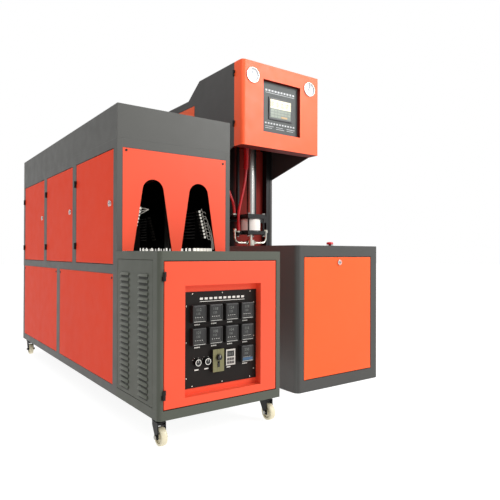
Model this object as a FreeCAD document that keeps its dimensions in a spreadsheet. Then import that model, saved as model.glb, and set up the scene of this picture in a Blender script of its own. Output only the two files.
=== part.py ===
import FreeCAD, Part
import os
import re
import Sketcher
from FreeCAD import Placement, Rotation, Vector
from math import tan

# Semi-automatic stretch blow moulding machine for large PET bottles, in two units that stand side by side: a
# preform oven on casters with its control cabinet in front, and a blowing unit with a horizontal mould clamp
# under an overhanging head. Millimetres, +X to the right, +Y to the back, +Z up. The origin is the point on the
# floor under the blowing nozzle. oven(x, y) counts from the oven unit's front left corner.

DIMS = {
    # both units
    "blower_w": 647, "unit_gap": 333, "front_step": 278, "gauge": 2, "seam": 0.8, "tube_wall": 3,
    "hinge_r": 6, "hinge_half": 18, "hinge_leaf": 3, "hinge_reach": 10, "pin_r": 3, "pin_play": 0.1,
    "lock_r": 9, "lock_head_r": 12, "lock_proud": 5, "tongue_len": 52, "fit_gap": 0.3, "edge_r": 3,
    # oven frame
    "oven_w": 618, "oven_len": 1922, "post": 45, "front_post": 26, "mid_post": 66,
    "rail": 42, "mid_rail_z": 665, "hood_z": 1292, "hood_tall": 160, "door_gap": 3, "door_thick": 20,
    "panel_thick": 12, "screw_head_r": 5.5, "screw_tall": 2.5, "oven_hinge_in": 92, "oven_lock_z": 994,
    "oven_lock_in": 36,
    # arched front panel
    "arch_base": 200, "arch_rise": 342, "arch_r": 55, "arch_left": 180, "arch_right": 430,
    "arch_thick": 18,
    # preform transport
    "deck": 3, "loop_x": 352, "loop_r": 125, "loop_front": 201, "loop_back": 146, "track_tall": 20, "chain_w": 16,
    "chain_tall": 12, "straight_pegs": 40, "bend_pegs": 10, "peg_base_r": 6.5, "peg_base": 22, "peg_r": 4.5,
    "peg_tall": 48, "shaft_r": 12, "boss_r": 26, "boss_tall": 24, "wheel_tall": 9, "motor_r": 60,
    "motor_len": 210, "gearbox": 130, "gearbox_tall": 96,
    # heating lamps
    "lamp_rows": 9, "lamp_pitch": 17.25, "lamp_low": 849, "lamp_r": 5, "cap_r": 6.6, "cap_len": 30,
    "lamp_spread": 206, "lamp_lean": 4.4, "lamp_end": 107, "lamp_edge": 11, "reflector_back": 22,
    "reflector_over": 20, "strip_back": 486, "strip_w": 12, "strip_z": 757, "terminal_x": 430,
    "terminal_pitch": 21, "terminal_w": 12, "terminal_tall": 27,
    # control cabinet
    "cabinet_w": 603, "cabinet_d": 439, "cabinet_h": 661, "cabinet_r": 18, "cdoor_left": 20.5,
    "cdoor_right": 21, "cdoor_low": 38, "cdoor_h": 585, "cdoor_thick": 22, "recess_left": 116,
    "recess_right": 109, "recess_low": 75, "recess_h": 447, "recess_deep": 36, "plate_in": 5.5,
    "plate_short": 7.5, "plate_low": 99, "plate_h": 394.5, "plate_thick": 3, "louver_front": 52,
    "louver_back": 14, "louver_low": 41, "louver_h": 585, "louver_rows": 21, "louver_pitch": 24.5,
    "louver_tall": 6, "louver_len": 90, "louver_low_row": 32, "louver_col_a": 45, "louver_col_b": 240,
    "cab_hinge_in": 62,
    # instruments on the control plate, from the cabinet's left side and underside
    "meter_w": 64, "meter_h": 72, "meter_out": 20, "meter_back": 62, "meter_left": 157.5,
    "meter_pitch": 80.5, "meter_row": 94, "meter_low": 179, "speed_left": 257, "speed_low": 154,
    "speed_w": 55, "speed_h": 95, "speed_out": 16, "dial_r": 12, "dial_tall": 13, "dial_up": 61,
    "switch_w": 9, "switch_h": 16, "switch_up": 21, "switch_travel": 6, "keypad_left": 324,
    "keypad_low": 174, "keypad_w": 47, "keypad_h": 68, "keypad_out": 14, "knob_r": 15.5,
    "knob_tall": 17, "knob_stem": 4, "knob_left": 187, "knob_pitch": 46, "knob_low": 203,
    # casters
    "wheel_r": 37.5, "wheel_w": 24, "axle_r": 5, "fork_gauge": 4, "fork_gap": 3, "trail": 22,
    "caster_in": 32, "caster_front": 64, "caster_back": 80, "swivel_r": 9, "plate_half": 26,
    "caster_rise": 34,
    # blowing unit
    "front_reach": 876.5, "blower_len": 1900, "cover_h": 807, "cover_r": 28, "table_reach": 360,
    "base_thick": 12, "access_w": 547, "access_h": 680, "access_low": 64, "access_lock_down": 33,
    "sill": 100, "estop_r": 20, "estop_tall": 16, "estop_neck": 8, "estop_travel": 4, "estop_back": 91,
    "estop_right": 14, "shell": 3, "head_seam": 262, "head_low": 1449, "head_high": 1990,
    "head_slope": 182, "slope_end": 343, "body_high": 1883, "column_front": 162, "brace_z": 1335,
    "return_w": 20, "side_front": 253, "side_margin": 52, "column_w": 50, "column_d": 80,
    # head door
    "head_deep": 90, "head_r": 26, "screen_left": 167.5, "screen_w": 316, "screen_low": 104,
    "screen_h": 340, "screen_deep": 30, "hmi_left": 230, "hmi_low": 199, "hmi_w": 200,
    "hmi_h": 147, "hmi_out": 7, "dial_gauge_r": 48, "dial_gauge_in": 81, "dial_gauge_z": 450,
    "dial_gauge_out": 6, "dial_gauge_back": 30, "needle_len": 38, "head_hinge_low": 146,
    "head_hinge_high": 470,
    # stretch and sealing cylinders
    "arm_z": 1560, "shelf_thick": 12, "shelf_half": 120, "barrel_r": 28.5, "barrel_bore": 25,
    "rod_r": 6, "piston_tall": 30, "stretch_stroke": 500, "flange": 155, "flange_z": 1010,
    "flange_tall": 29, "seal_r": 69.5, "seal_bore": 62, "seal_tall": 90, "low_flange": 23,
    "tie_r": 6, "tie_in": 11.5, "neck_r": 13, "block_r": 26.5, "block_tall": 40, "block_z": 818,
    "seal_stroke": 38, "seal_piston": 24, "elbow_r": 7, "elbow_out": 59.5, "elbow_bend": 36,
    "elbow_top": 912, "nut_r": 13, "nut_tall": 22, "guide_r": 12, "guide_half": 75, "guide_back": 55,
    # mould clamp
    "mould_half": 165, "clamp_stroke": 180, "platen": 40, "platen_half": 250, "platen_top": 790,
    "platen_low": 60, "clamp_z": 420, "bar_r": 22, "bar_half": 200, "bar_rise": 300, "bar_nut_r": 36,
    "bar_nut": 28, "press_r": 80, "press_len": 230, "press_wall": 12, "ram_r": 30, "ram_piston": 16,
    "bolt_r": 7, "bolt_half_x": 140, "bolt_half_z": 220, "end_platen": 580,
    # air supply
    "tank_r": 160, "tank_tall": 900, "tank_dome": 60, "tank_leg": 160, "tank_back": 560,
    "hose_r": 10, "fitting_r": 13, "fitting_tall": 24, "port_out": 27.5,
}

# Sizes that follow from others: what fits to a size changes with it.
TIES = {
    "oven_low": "(2 * wheel_r + caster_rise)",
    "cdoor_w": "(cabinet_w - cdoor_left - cdoor_right)",
    "recess_w": "(cabinet_w - recess_left - recess_right)",
    "plate_left": "(recess_left + plate_in)",
    "plate_w": "(recess_w - plate_short)",
    "louver_w": "(cabinet_d - louver_front - louver_back)",
    "tie_half": "(flange / 2 - tie_in)",
    "elbow_reach": "(flange / 2 + elbow_out)",
}

# Rules that many pieces share, in terms of the sheet's names.
OVEN_X = "(-blower_w / 2 - unit_gap - oven_w)"
OVEN_Y = "(-front_reach - front_step)"
DOOR_W = "((oven_len - 2 * post - 2 * mid_post) / 3)"
UPPER_Z = "(mid_rail_z + rail)"
UPPER_H = "(hood_z - rail - mid_rail_z - rail)"
DECK_Z = "(mid_rail_z + rail)"
CHAIN_Z = f"({DECK_Z} + track_tall)"
LOOP_X = "loop_x"
LOOP_FRONT = "(cabinet_d + loop_front)"
LOOP_BACK = "(cabinet_d + oven_len - post - loop_back)"
BLOWER_L = "(-blower_w / 2)"
BLOWER_B = "(blower_len - front_reach)"
SHELF_Z = "(arm_z + column_w)"
BARREL_Z = "(flange_z + flange_tall)"
PRESS_Y = "(-end_platen - platen - press_len)"

doc = FreeCAD.newDocument("BlowMoulder")
sheet = doc.addObject("Spreadsheet::Sheet", "Dims")
for row, (alias, value) in enumerate(DIMS.items(), 1):
    sheet.set(f"A{row}", alias)
    sheet.set(f"B{row}", str(value))
    sheet.setAlias(f"B{row}", alias)
doc.recompute()

WORD = re.compile(r"[a-z]+(?:_[a-z]+)*")
ALONG = {
    "x": Rotation(Vector(0, 1, 0), 90),
    "y": Rotation(Vector(1, 0, 0), -90),
    "z": Rotation(),
}
nodes = []


def meaning(match):
    word = match.group()
    if word in TIES:
        return rule(TIES[word])
    return f"Dims.{word}" if word in DIMS else word


def rule(text):
    """Turn a rule written in the names of DIMS and TIES into an expression."""
    return WORD.sub(meaning, str(text))


def number(alias):
    return float(sheet.get(alias))


def oven(x, y, z):
    """A place counted from the oven unit's front left corner on the floor."""
    return (f"{OVEN_X} + {x}", f"{OVEN_Y} + {y}", z)


def place(item, at, turn=None):
    """Put an object at three rules, turned by a fixed rotation."""
    if turn:
        item.Placement = Placement(Vector(), turn)
    for side, text in zip("xyz", at):
        item.setExpression(f"Placement.Base.{side}", rule(text))
    return item


def box(at, size):
    item = doc.addObject("Part::Box", "Block")
    for side, text in zip(("Length", "Width", "Height"), size):
        item.setExpression(side, rule(text))
    return place(item, at)


def round_bar(at, radius, length, along="z"):
    item = doc.addObject("Part::Cylinder", "Bar")
    item.setExpression("Radius", rule(radius))
    item.setExpression("Height", rule(length))
    return place(item, at, ALONG[along])


def cone(at, low, high, tall, along="z"):
    item = doc.addObject("Part::Cone", "Taper")
    for side, text in (("Radius1", low), ("Radius2", high), ("Height", tall)):
        item.setExpression(side, rule(text))
    return place(item, at, ALONG[along])


def group(items):
    """Separate solids that share one node."""
    item = doc.addObject("Part::Compound", "Set")
    item.Links = items
    return item


def fuse(*items):
    item = doc.addObject("Part::MultiFuse", "Joined")
    item.Shapes = list(items)
    return item


def cut(base, *tools):
    item = doc.addObject("Part::Cut", "Trimmed")
    item.Base = base
    item.Tool = tools[0] if len(tools) == 1 else fuse(*tools)
    return item


def keep(node, item):
    """Name a finished sub-part, which is then written as a node."""
    item.Label = node
    nodes.append(item)
    return item


def tube(at, size, along):
    """Square tube: the wall is cut through along its length."""
    inner_at, inner_size = [], []
    for side, place_text, size_text in zip("xyz", at, size):
        wall = "0" if side == along else "tube_wall"
        inner_at.append(f"{place_text} + {wall}")
        inner_size.append(f"{size_text} - 2 * {wall}")
    return cut(box(at, size), box(inner_at, inner_size))


def new_sketch(body, role):
    sketch = body.newObject("Sketcher::SketchObject", "Sketch")
    plane = [item for item in body.Origin.OriginFeatures if item.Role == role][0]
    sketch.AttachmentSupport = [(plane, "")]
    sketch.MapMode = "FlatFace"
    return sketch


def pin_point(sketch, line, end, u, v):
    """Fix one end of a line at two rules, counted from the sketch's origin."""
    for kind, text in (("DistanceX", u), ("DistanceY", v)):
        index = sketch.addConstraint(Sketcher.Constraint(kind, -1, 1, line, end, 1.0))
        sketch.setExpression(f"Constraints[{index}]", rule(text))


def outline(sketch, corners):
    """Closed outline of straight lines through corners given as pairs of rules."""
    first, count = sketch.GeometryCount, len(corners)
    start = [Vector(100 * (i + 1), 50 * i * i, 0) for i in range(count)]
    for i in range(count):
        sketch.addGeometry(Part.LineSegment(start[i], start[(i + 1) % count]), False)
    for i, (u, v) in enumerate(corners):
        after = first + (i + 1) % count
        sketch.addConstraint(Sketcher.Constraint("Coincident", first + i, 2, after, 1))
        pin_point(sketch, first + i, 1, u, v)


def pad(body, sketch, length, middle=False, backward=False):
    item = body.newObject("PartDesign::Pad", "Pad")
    item.Profile = sketch
    item.setExpression("Length", rule(length))
    item.Midplane = middle
    item.Reversed = backward
    return item


def round_edges(body, base, radius, wanted):
    """Fillet the edges of a feature that pass a test of their middle, direction and the feature's box."""
    doc.recompute()
    picked = []
    for i, edge in enumerate(base.Shape.Edges, 1):
        way = (edge.Vertexes[-1].Point - edge.Vertexes[0].Point).normalize()
        if wanted(edge.CenterOfMass, way, base.Shape.BoundBox):
            picked.append(f"Edge{i}")
    item = body.newObject("PartDesign::Fillet", "Round")
    item.Base = (base, picked)
    item.setExpression("Radius", rule(radius))


def near(a, b):
    return abs(a - b) < 1e-6


def left_face(middle, way, block):
    return near(middle.x, block.XMin)


def right_face(middle, way, block):
    return near(middle.x, block.XMax)


def front_face(middle, way, block):
    return near(middle.y, block.YMin)


def back_face(middle, way, block):
    return near(middle.y, block.YMax)


def front_left_upright(middle, way, block):
    return near(middle.y, block.YMin) and near(middle.x, block.XMin) and near(abs(way.z), 1)


def top_edges(middle, way, block):
    return near(middle.z, block.ZMax)


def solid_block(at, size, radius, wanted):
    """Box with filleted edges, drawn at the body's own origin and then placed."""
    body = doc.addObject("PartDesign::Body", "Form")
    long, wide, tall = size
    sketch = new_sketch(body, "XY_Plane")
    outline(sketch, [("0", "0"), (long, "0"), (long, wide), ("0", wide)])
    round_edges(body, pad(body, sketch, tall), radius, wanted)
    return place(body, at)


PAN_SIDES = {"-x": left_face, "+x": right_face, "-y": front_face, "+y": back_face}


def pan(at, size, face):
    """Folded sheet panel: a skin on the face named, with its four edges turned in."""
    side = "xyz".index(face[1])
    hollow_at = [f"{text} + gauge" for text in at]
    hollow = [f"{text} - 2 * gauge" for text in size]
    hollow[side] = size[side]
    if face[0] == "+":
        hollow_at[side] = f"{at[side]} - gauge"
    return cut(solid_block(at, size, "edge_r", PAN_SIDES[face]), box(hollow_at, hollow))


def tab(at, normal, leaf, low, tall):
    """Flat leaf of a hinge: it lies on the face at the seam and reaches away from it."""
    corner, size = list(at), ["hinge_reach", "hinge_reach", tall]
    corner[2] = low
    for direction, reach in ((normal, "hinge_leaf"), (leaf, "hinge_reach")):
        side = "xyz".index(direction[1])
        size[side] = reach
        if direction[0] == "-":
            corner[side] = f"{at[side]} - {reach}"
    return box(corner, size)


def hinge(at, normal, leaf):
    """Lift-off hinge on a seam. Returns the moving half and the fixed half with its pin."""
    other = ("-" if leaf[0] == "+" else "+") + leaf[1]
    side = "xyz".index(normal[1])
    axis = list(at)
    axis[side] = f"{at[side]} {normal[0]} (hinge_r + fit_gap)"
    x, y, z = axis
    low = f"{z} - hinge_half"
    bore = round_bar(axis, "pin_r + pin_play", "hinge_half")
    moving = cut(fuse(round_bar(axis, "hinge_r", "hinge_half"), tab(at, normal, leaf, z, "hinge_half")), bore)
    barrel = round_bar((x, y, low), "hinge_r", "hinge_half - fit_gap")
    pin = round_bar((x, y, low), "pin_r", "2 * hinge_half - 2")
    return moving, fuse(barrel, pin, tab(at, normal, other, low, "hinge_half - fit_gap"))


def recessed_door(block, at, size, recess_at, recess, window, corner_r=None):
    """Hollow door with a recess in its face; window gives the margins left beside and over its open back."""
    hollow_at = [f"{text} + gauge" for text in at]
    hollow = [f"{size[0]} - 2 * gauge", size[1], f"{size[2]} - 2 * gauge"]
    rim_at = [f"{recess_at[0]} - gauge", recess_at[1], f"{recess_at[2]} - gauge"]
    rim = [f"{recess[0]} + 2 * gauge", f"{recess[1]} + gauge", f"{recess[2]} + 2 * gauge"]
    open_at = [f"{recess_at[0]} + {window[0]}", recess_at[1], f"{recess_at[2]} + {window[1]}"]
    opening = [f"{recess[0]} - 2 * {window[0]}", f"2 * {recess[1]}", f"{recess[2]} - 2 * {window[1]}"]
    front_at = [recess_at[0], f"{recess_at[1]} - gauge", recess_at[2]]
    front = [recess[0], f"{recess[1]} + gauge", recess[2]]
    inside = box(hollow_at, hollow)
    if corner_r:
        inside = solid_block(hollow_at, hollow, f"{corner_r} - gauge", front_left_upright)
    hollowed = cut(block, inside)
    return cut(fuse(hollowed, box(rim_at, rim)), box(front_at, front), box(open_at, opening))


# ---- Oven unit: frame and fixed panels --------------------------------------------------------------------

def oven_frame():
    """Square tube frame: corner posts, three levels of rails, and posts between the doors and panels."""
    tubes = []
    back = "cabinet_d + oven_len - post"
    tall = "hood_z - oven_low"
    for x in ("0", "oven_w - front_post"):
        tubes.append(tube(oven(x, "cabinet_d", "oven_low"), ("front_post", "post", tall), "z"))
    for x in ("0", "oven_w - post"):
        tubes.append(tube(oven(x, back, "oven_low"), ("post", "post", tall), "z"))
        for z in ("oven_low", "mid_rail_z", "hood_z - rail"):
            size = ("post", "oven_len - 2 * post", "rail")
            tubes.append(tube(oven(x, "cabinet_d + post", z), size, "y"))
        for i in range(2):
            y = f"cabinet_d + post + {DOOR_W} + {i} * ({DOOR_W} + mid_post)"
            tubes.append(tube(oven(x, y, UPPER_Z), ("post", "mid_post", UPPER_H), "z"))
        size = ("post", "mid_post", "mid_rail_z - oven_low - rail")
        y = "cabinet_d + (oven_len - mid_post) / 2"
        tubes.append(tube(oven(x, y, "oven_low + rail"), size, "z"))
    for z in ("oven_low", "mid_rail_z", "hood_z - rail"):
        size = ("oven_w - 2 * front_post", "post", "rail")
        tubes.append(tube(oven("front_post", "cabinet_d", z), size, "x"))
        tubes.append(tube(oven("post", back, z), ("oven_w - 2 * post", "post", "rail"), "x"))
    for x in ("caster_in", "oven_w - caster_in"):
        y = "cabinet_d + oven_len - caster_back"
        tubes.append(caster_plate(x, y, "oven_low"))
    keep("oven_frame", group(tubes))


def caster_plate(x, y, under):
    """Plate with the swivel's bore, below the surface named."""
    at = oven(f"{x} - plate_half", f"{y} - plate_half", f"{under} - fork_gauge")
    plate = box(at, ("2 * plate_half", "2 * plate_half", "fork_gauge"))
    bore = round_bar(oven(x, y, f"{under} - 2 * fork_gauge"), "swivel_r + pin_play", "3 * fork_gauge")
    return cut(plate, bore)


def fixed_panels():
    """Screwed panels: lower ones on both sides, upper ones on the right, two on the back."""
    panels = []
    lower_w = "((oven_len - 2 * post - mid_post) / 2)"
    lower_h = "mid_rail_z - oven_low - rail - 2 * seam"
    lower_z = "oven_low + rail + seam"
    for x, face in (("0", "-x"), ("oven_w - panel_thick", "+x")):
        for i in range(2):
            at = oven(x, f"cabinet_d + post + seam + {i} * ({lower_w} + mid_post)", lower_z)
            panels.append(pan(at, ("panel_thick", f"{lower_w} - 2 * seam", lower_h), face))
    for i in range(3):
        y = f"cabinet_d + post + seam + {i} * ({DOOR_W} + mid_post)"
        at = oven("oven_w - panel_thick", y, f"{UPPER_Z} + seam")
        size = ("panel_thick", f"{DOOR_W} - 2 * seam", f"{UPPER_H} - 2 * seam")
        panels.append(pan(at, size, "+x"))
    for z, tall in ((lower_z, lower_h), (f"{UPPER_Z} + seam", f"{UPPER_H} - 2 * seam")):
        at = oven("post + seam", "cabinet_d + oven_len - panel_thick", z)
        panels.append(pan(at, ("oven_w - 2 * post - 2 * seam", "panel_thick", tall), "+y"))
    keep("fixed_panels", group(panels))


def panel_screws():
    """Black screw heads at the corners of the front arch panel and of the lower side panels."""
    heads = []
    radius, tall = "screw_head_r", "screw_tall"
    for x, down in (("front_post + 18", "54"), ("oven_w - front_post - 18", "62")):
        at = oven(x, "cabinet_d - screw_tall", f"hood_z - {down}")
        heads.append(round_bar(at, radius, tall, "y"))
    lower_w = "((oven_len - 2 * post - mid_post) / 2)"
    for i in range(2):
        for y in ("14", f"{lower_w} - 14"):
            at = oven("-screw_tall", f"cabinet_d + post + {i} * ({lower_w} + mid_post) + {y}", "mid_rail_z - 20")
            heads.append(round_bar(at, radius, tall, "x"))
    keep("panel_screws", group(heads))


def oven_hood():
    """Flush hood over the whole oven, open underneath."""
    at = oven("0", "cabinet_d", "hood_z")
    outer = solid_block(at, ("oven_w", "oven_len", "hood_tall"), "edge_r", top_edges)
    hollow = box(oven("gauge", "cabinet_d + gauge", "hood_z - gauge"),
                 ("oven_w - 2 * gauge", "oven_len - 2 * gauge", "hood_tall"))
    keep("oven_hood", cut(outer, hollow))


def arch_window(sketch, middle):
    """Window outline: a flat base, two leaning sides and a round top that they run into."""
    mid, half, rise, radius = (number(n) for n in (middle, "arch_base", "arch_rise", "arch_r"))
    half = half / 2
    first = sketch.GeometryCount
    shoulder = rise - radius
    sketch.addGeometry(Part.LineSegment(Vector(mid - half, 0, 0), Vector(mid + half, 0, 0)), False)
    sketch.addGeometry(Part.LineSegment(Vector(mid + half, 0, 0), Vector(mid + radius, shoulder, 0)), False)
    circle = Part.Circle(Vector(mid, shoulder, 0), Vector(0, 0, 1), radius)
    sketch.addGeometry(Part.ArcOfCircle(circle, 0, 3.1), False)
    sketch.addGeometry(Part.LineSegment(Vector(mid - radius, shoulder, 0), Vector(mid - half, 0, 0)), False)
    sketch.addConstraint(Sketcher.Constraint("Coincident", first, 2, first + 1, 1))
    sketch.addConstraint(Sketcher.Constraint("Tangent", first + 1, 2, first + 2, 1))
    sketch.addConstraint(Sketcher.Constraint("Tangent", first + 2, 2, first + 3, 1))
    sketch.addConstraint(Sketcher.Constraint("Coincident", first + 3, 2, first, 1))
    pin_point(sketch, first, 1, f"{middle} - arch_base / 2", "-seam")
    pin_point(sketch, first, 2, f"{middle} + arch_base / 2", "-seam")
    pin_point(sketch, first + 2, 3, middle, "arch_rise - arch_r")
    index = sketch.addConstraint(Sketcher.Constraint("Radius", first + 2, radius))
    sketch.setExpression(f"Constraints[{index}]", rule("arch_r"))


def arch_panel():
    """Front panel of the oven with two arched windows over the control cabinet, open at the base."""
    left, right = "front_post + seam", "oven_w - front_post - seam"
    low = "(oven_low + cabinet_h + seam)"
    tall = f"hood_z - rail - seam - {low}"
    body = doc.addObject("PartDesign::Body", "Arches")
    face = new_sketch(body, "XZ_Plane")
    outline(face, [(left, "0"), (right, "0"), (right, tall), (left, tall)])
    pad(body, face, "arch_thick", backward=True)
    windows = new_sketch(body, "XZ_Plane")
    arch_window(windows, "arch_left")
    arch_window(windows, "arch_right")
    pocket = body.newObject("PartDesign::Pocket", "Windows")
    pocket.Profile = windows
    pocket.Midplane = True
    pocket.setExpression("Length", rule("4 * arch_thick"))
    place(body, oven("0", "cabinet_d", low))
    hollow = box(oven(f"{left} + gauge", "cabinet_d + gauge", f"{low} + gauge"),
                 (f"{right} - ({left}) - 2 * gauge", "arch_thick", f"{tall} - 2 * gauge"))
    keep("arch_panel", cut(body, hollow))


# ---- Oven unit: doors and their locks ---------------------------------------------------------------------

def oven_doors(fixed_halves):
    """Three doors on the left side, hinged on their rear edges, each with a cam lock by its front edge."""
    for i, name in enumerate(("near", "mid", "far")):
        start = f"cabinet_d + post + {i} * ({DOOR_W} + mid_post)"
        size = ("door_thick", f"{DOOR_W} - 2 * door_gap", f"{UPPER_H} - 2 * door_gap")
        skin = pan(oven("0", f"{start} + door_gap", f"{UPPER_Z} + door_gap"), size, "-x")
        lock_y = f"{start} + door_gap + oven_lock_in"
        hole = round_bar(oven("-1", lock_y, "oven_lock_z"), "lock_r + fit_gap", "door_thick", "x")
        halves = []
        for z in (f"{UPPER_Z} + oven_hinge_in", f"hood_z - rail - oven_hinge_in - hinge_half"):
            moving, fixed = hinge(oven("0", f"{start} + {DOOR_W} - door_gap / 2", z), "-x", "-y")
            halves.append(moving)
            fixed_halves.append(fixed)
        keep(f"oven_door_{name}", cut(fuse(skin, *halves), hole))
        head = cone(oven("-lock_proud - fit_gap", lock_y, "oven_lock_z"), "lock_r", "lock_head_r", "lock_proud", "x")
        stem = round_bar(oven("-fit_gap", lock_y, "oven_lock_z"), "lock_r", "post + 3 + fit_gap", "x")
        tongue = box(oven("post + 1", f"{lock_y} - lock_r", "oven_lock_z - tongue_len"),
                     ("gauge + 1", "2 * lock_r", "tongue_len + lock_r"))
        keep(f"door_lock_{name}", fuse(head, stem, tongue))


# ---- Oven unit: preform transport and lamps ---------------------------------------------------------------

def racetrack(outer, inner, z, tall):
    """Closed band round both wheel centres, between two radii."""
    slots = []
    for radius in (outer, inner):
        size = (f"2 * ({radius})", f"{LOOP_BACK} - {LOOP_FRONT}", tall)
        straight = box(oven(f"{LOOP_X} - ({radius})", LOOP_FRONT, z), size)
        bends = [round_bar(oven(LOOP_X, y, z), radius, tall) for y in (LOOP_FRONT, LOOP_BACK)]
        slots.append(fuse(straight, *bends))
    return cut(slots[0], slots[1])


def oven_deck():
    """Deck between the middle rails, with the chain's guide track and two bearing bosses."""
    at = oven("post", "cabinet_d + post", f"{DECK_Z} - deck")
    plate = box(at, ("oven_w - 2 * post", "oven_len - 2 * post", "deck"))
    track = racetrack("loop_r + chain_w / 2", "loop_r - chain_w / 2", DECK_Z, "track_tall")
    bosses, bores = [], []
    for y in (LOOP_FRONT, LOOP_BACK):
        bosses.append(round_bar(oven(LOOP_X, y, f"{DECK_Z} - deck - boss_tall"), "boss_r", "boss_tall"))
        at = oven(LOOP_X, y, f"{DECK_Z} - 2 * deck - boss_tall")
        bores.append(round_bar(at, "shaft_r + pin_play", "boss_tall + 4 * deck"))
    keep("oven_deck", cut(fuse(plate, track, *bosses), *bores))


def chain_wheels():
    """Two wheels that carry the chain's bends, each on a shaft through the deck."""
    for name, y, reach in (("drive_wheel", LOOP_FRONT, "40"), ("idler_wheel", LOOP_BACK, "0")):
        rim = round_bar(oven(LOOP_X, y, f"{CHAIN_Z} + 1"), "loop_r - chain_w / 2 - fit_gap", "wheel_tall")
        hub = round_bar(oven(LOOP_X, y, f"{DECK_Z} + fit_gap"), "boss_r", "track_tall + wheel_tall")
        low = f"({DECK_Z} - deck - boss_tall - {reach} + fit_gap)"
        shaft = round_bar(oven(LOOP_X, y, low), "shaft_r", f"{DECK_Z} + track_tall - {low}")
        keep(name, fuse(rim, hub, shaft))


def mandrel_chain():
    """Endless chain as one closed band, with a preform peg standing on every second link."""
    band = racetrack("loop_r + chain_w / 2", "loop_r - chain_w / 2", CHAIN_Z, "chain_tall")
    places = []
    straight = int(number("straight_pegs"))
    for i in range(straight):
        y = f"{LOOP_FRONT} + ({LOOP_BACK} - {LOOP_FRONT}) * {i + 0.5} / straight_pegs"
        places += [(f"{LOOP_X} - loop_r", y), (f"{LOOP_X} + loop_r", y)]
    for i in range(int(number("bend_pegs"))):
        angle = f"180 * {i + 0.5} / bend_pegs"
        x = f"{LOOP_X} + loop_r * cos({angle})"
        places += [(x, f"{LOOP_FRONT} - loop_r * sin({angle})"), (x, f"{LOOP_BACK} + loop_r * sin({angle})")]
    solids = [band]
    for x, y in places:
        base = round_bar(oven(x, y, f"{CHAIN_Z} + chain_tall"), "peg_base_r", "peg_base")
        at = oven(x, y, f"{CHAIN_Z} + chain_tall + peg_base")
        solids.append(fuse(base, cone(at, "peg_r", "peg_r - 1.5", "peg_tall - peg_base")))
    keep("mandrel_chain", group(solids))


def chain_motor():
    """Gearmotor hung under the drive wheel's boss."""
    top = f"{DECK_Z} - deck - boss_tall"
    at = oven(f"{LOOP_X} - gearbox / 2", f"{LOOP_FRONT} - gearbox / 2", f"{top} - gearbox_tall")
    housing = box(at, ("gearbox", "gearbox", "gearbox_tall"))
    bore = round_bar(oven(LOOP_X, LOOP_FRONT, f"{top} - 42"), "shaft_r + pin_play", "44")
    at = oven(LOOP_X, f"{LOOP_FRONT} + gearbox / 2", f"{top} - gearbox_tall / 2")
    cowl_at = oven(LOOP_X, f"{LOOP_FRONT} + gearbox / 2 + motor_len", f"{top} - gearbox_tall / 2")
    neck_r = "gearbox_tall / 2 - 6"
    motor = fuse(round_bar(at, neck_r, "30", "y"), round_bar(at, "motor_r - 8", "motor_len", "y"),
                 round_bar(cowl_at, "motor_r", "34", "y"))
    keep("chain_motor", fuse(cut(housing, bore), motor))


def lamp_modules():
    """Three lamp modules a side, leaning in towards the top, with their reflectors, end plates and terminals."""
    lamps, reflectors = [], []
    rows = int(number("lamp_rows"))
    lean = "(lamp_rows - 1) * lamp_lean"
    top = "lamp_low + (lamp_rows - 1) * lamp_pitch + reflector_over"
    long = f"({DOOR_W} - 2 * lamp_end)"
    for side in "-+":
        plate_x = back = f"{LOOP_X} - lamp_spread - reflector_back"
        if side == "+":
            plate_x = f"{LOOP_X} + lamp_spread - {lean} - lamp_edge"
            back = f"{LOOP_X} + lamp_spread + reflector_back - gauge"
        for i in range(3):
            y = f"(cabinet_d + post + {i} * ({DOOR_W} + mid_post) + lamp_end)"
            at = oven(back, f"{y} + cap_len", "lamp_low - reflector_over")
            size = ("gauge", f"{long} - 2 * cap_len", f"{top} - (lamp_low - reflector_over)")
            plates = [box(at, size)]
            for end in (f"{y} + cap_len", f"{y} + {long} - cap_len - gauge"):
                size = (f"reflector_back + {lean} + lamp_edge", "gauge", f"{top} - {DECK_Z}")
                plates.append(box(oven(plate_x, end, DECK_Z), size))
            holes = []
            for row in range(rows):
                x = f"{LOOP_X} {side} (lamp_spread - {row} * lamp_lean)"
                z = f"lamp_low + {row} * lamp_pitch"
                holes.append(round_bar(oven(x, y, z), "lamp_r + fit_gap", long, "y"))
                ends = [round_bar(oven(x, end, z), "cap_r", "cap_len", "y") for end in (y, f"{y} + {long} - cap_len")]
                lamps.append(fuse(round_bar(oven(x, y, z), "lamp_r", long, "y"), *ends))
            reflectors.append(cut(fuse(*plates), group(holes)))
    strip = box(oven("post", "strip_back", "strip_z"), ("oven_w - 2 * post", "strip_w", "deck"))
    feet = [box(oven(x, "strip_back", DECK_Z), ("deck", "strip_w", f"strip_z - {DECK_Z}"))
            for x in ("post", "oven_w - post - deck")]
    reflectors.append(fuse(strip, *feet))
    for i in range(5):
        at = oven(f"terminal_x + {i} * terminal_pitch", "strip_back", "strip_z + deck")
        wide = "terminal_w" if i < 4 else "2 * terminal_w"
        lamps.append(box(at, (wide, "strip_w", "terminal_tall")))
    keep("heating_lamps", group(lamps))
    keep("lamp_reflectors", group(reflectors))


# ---- Control cabinet --------------------------------------------------------------------------------------

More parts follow.
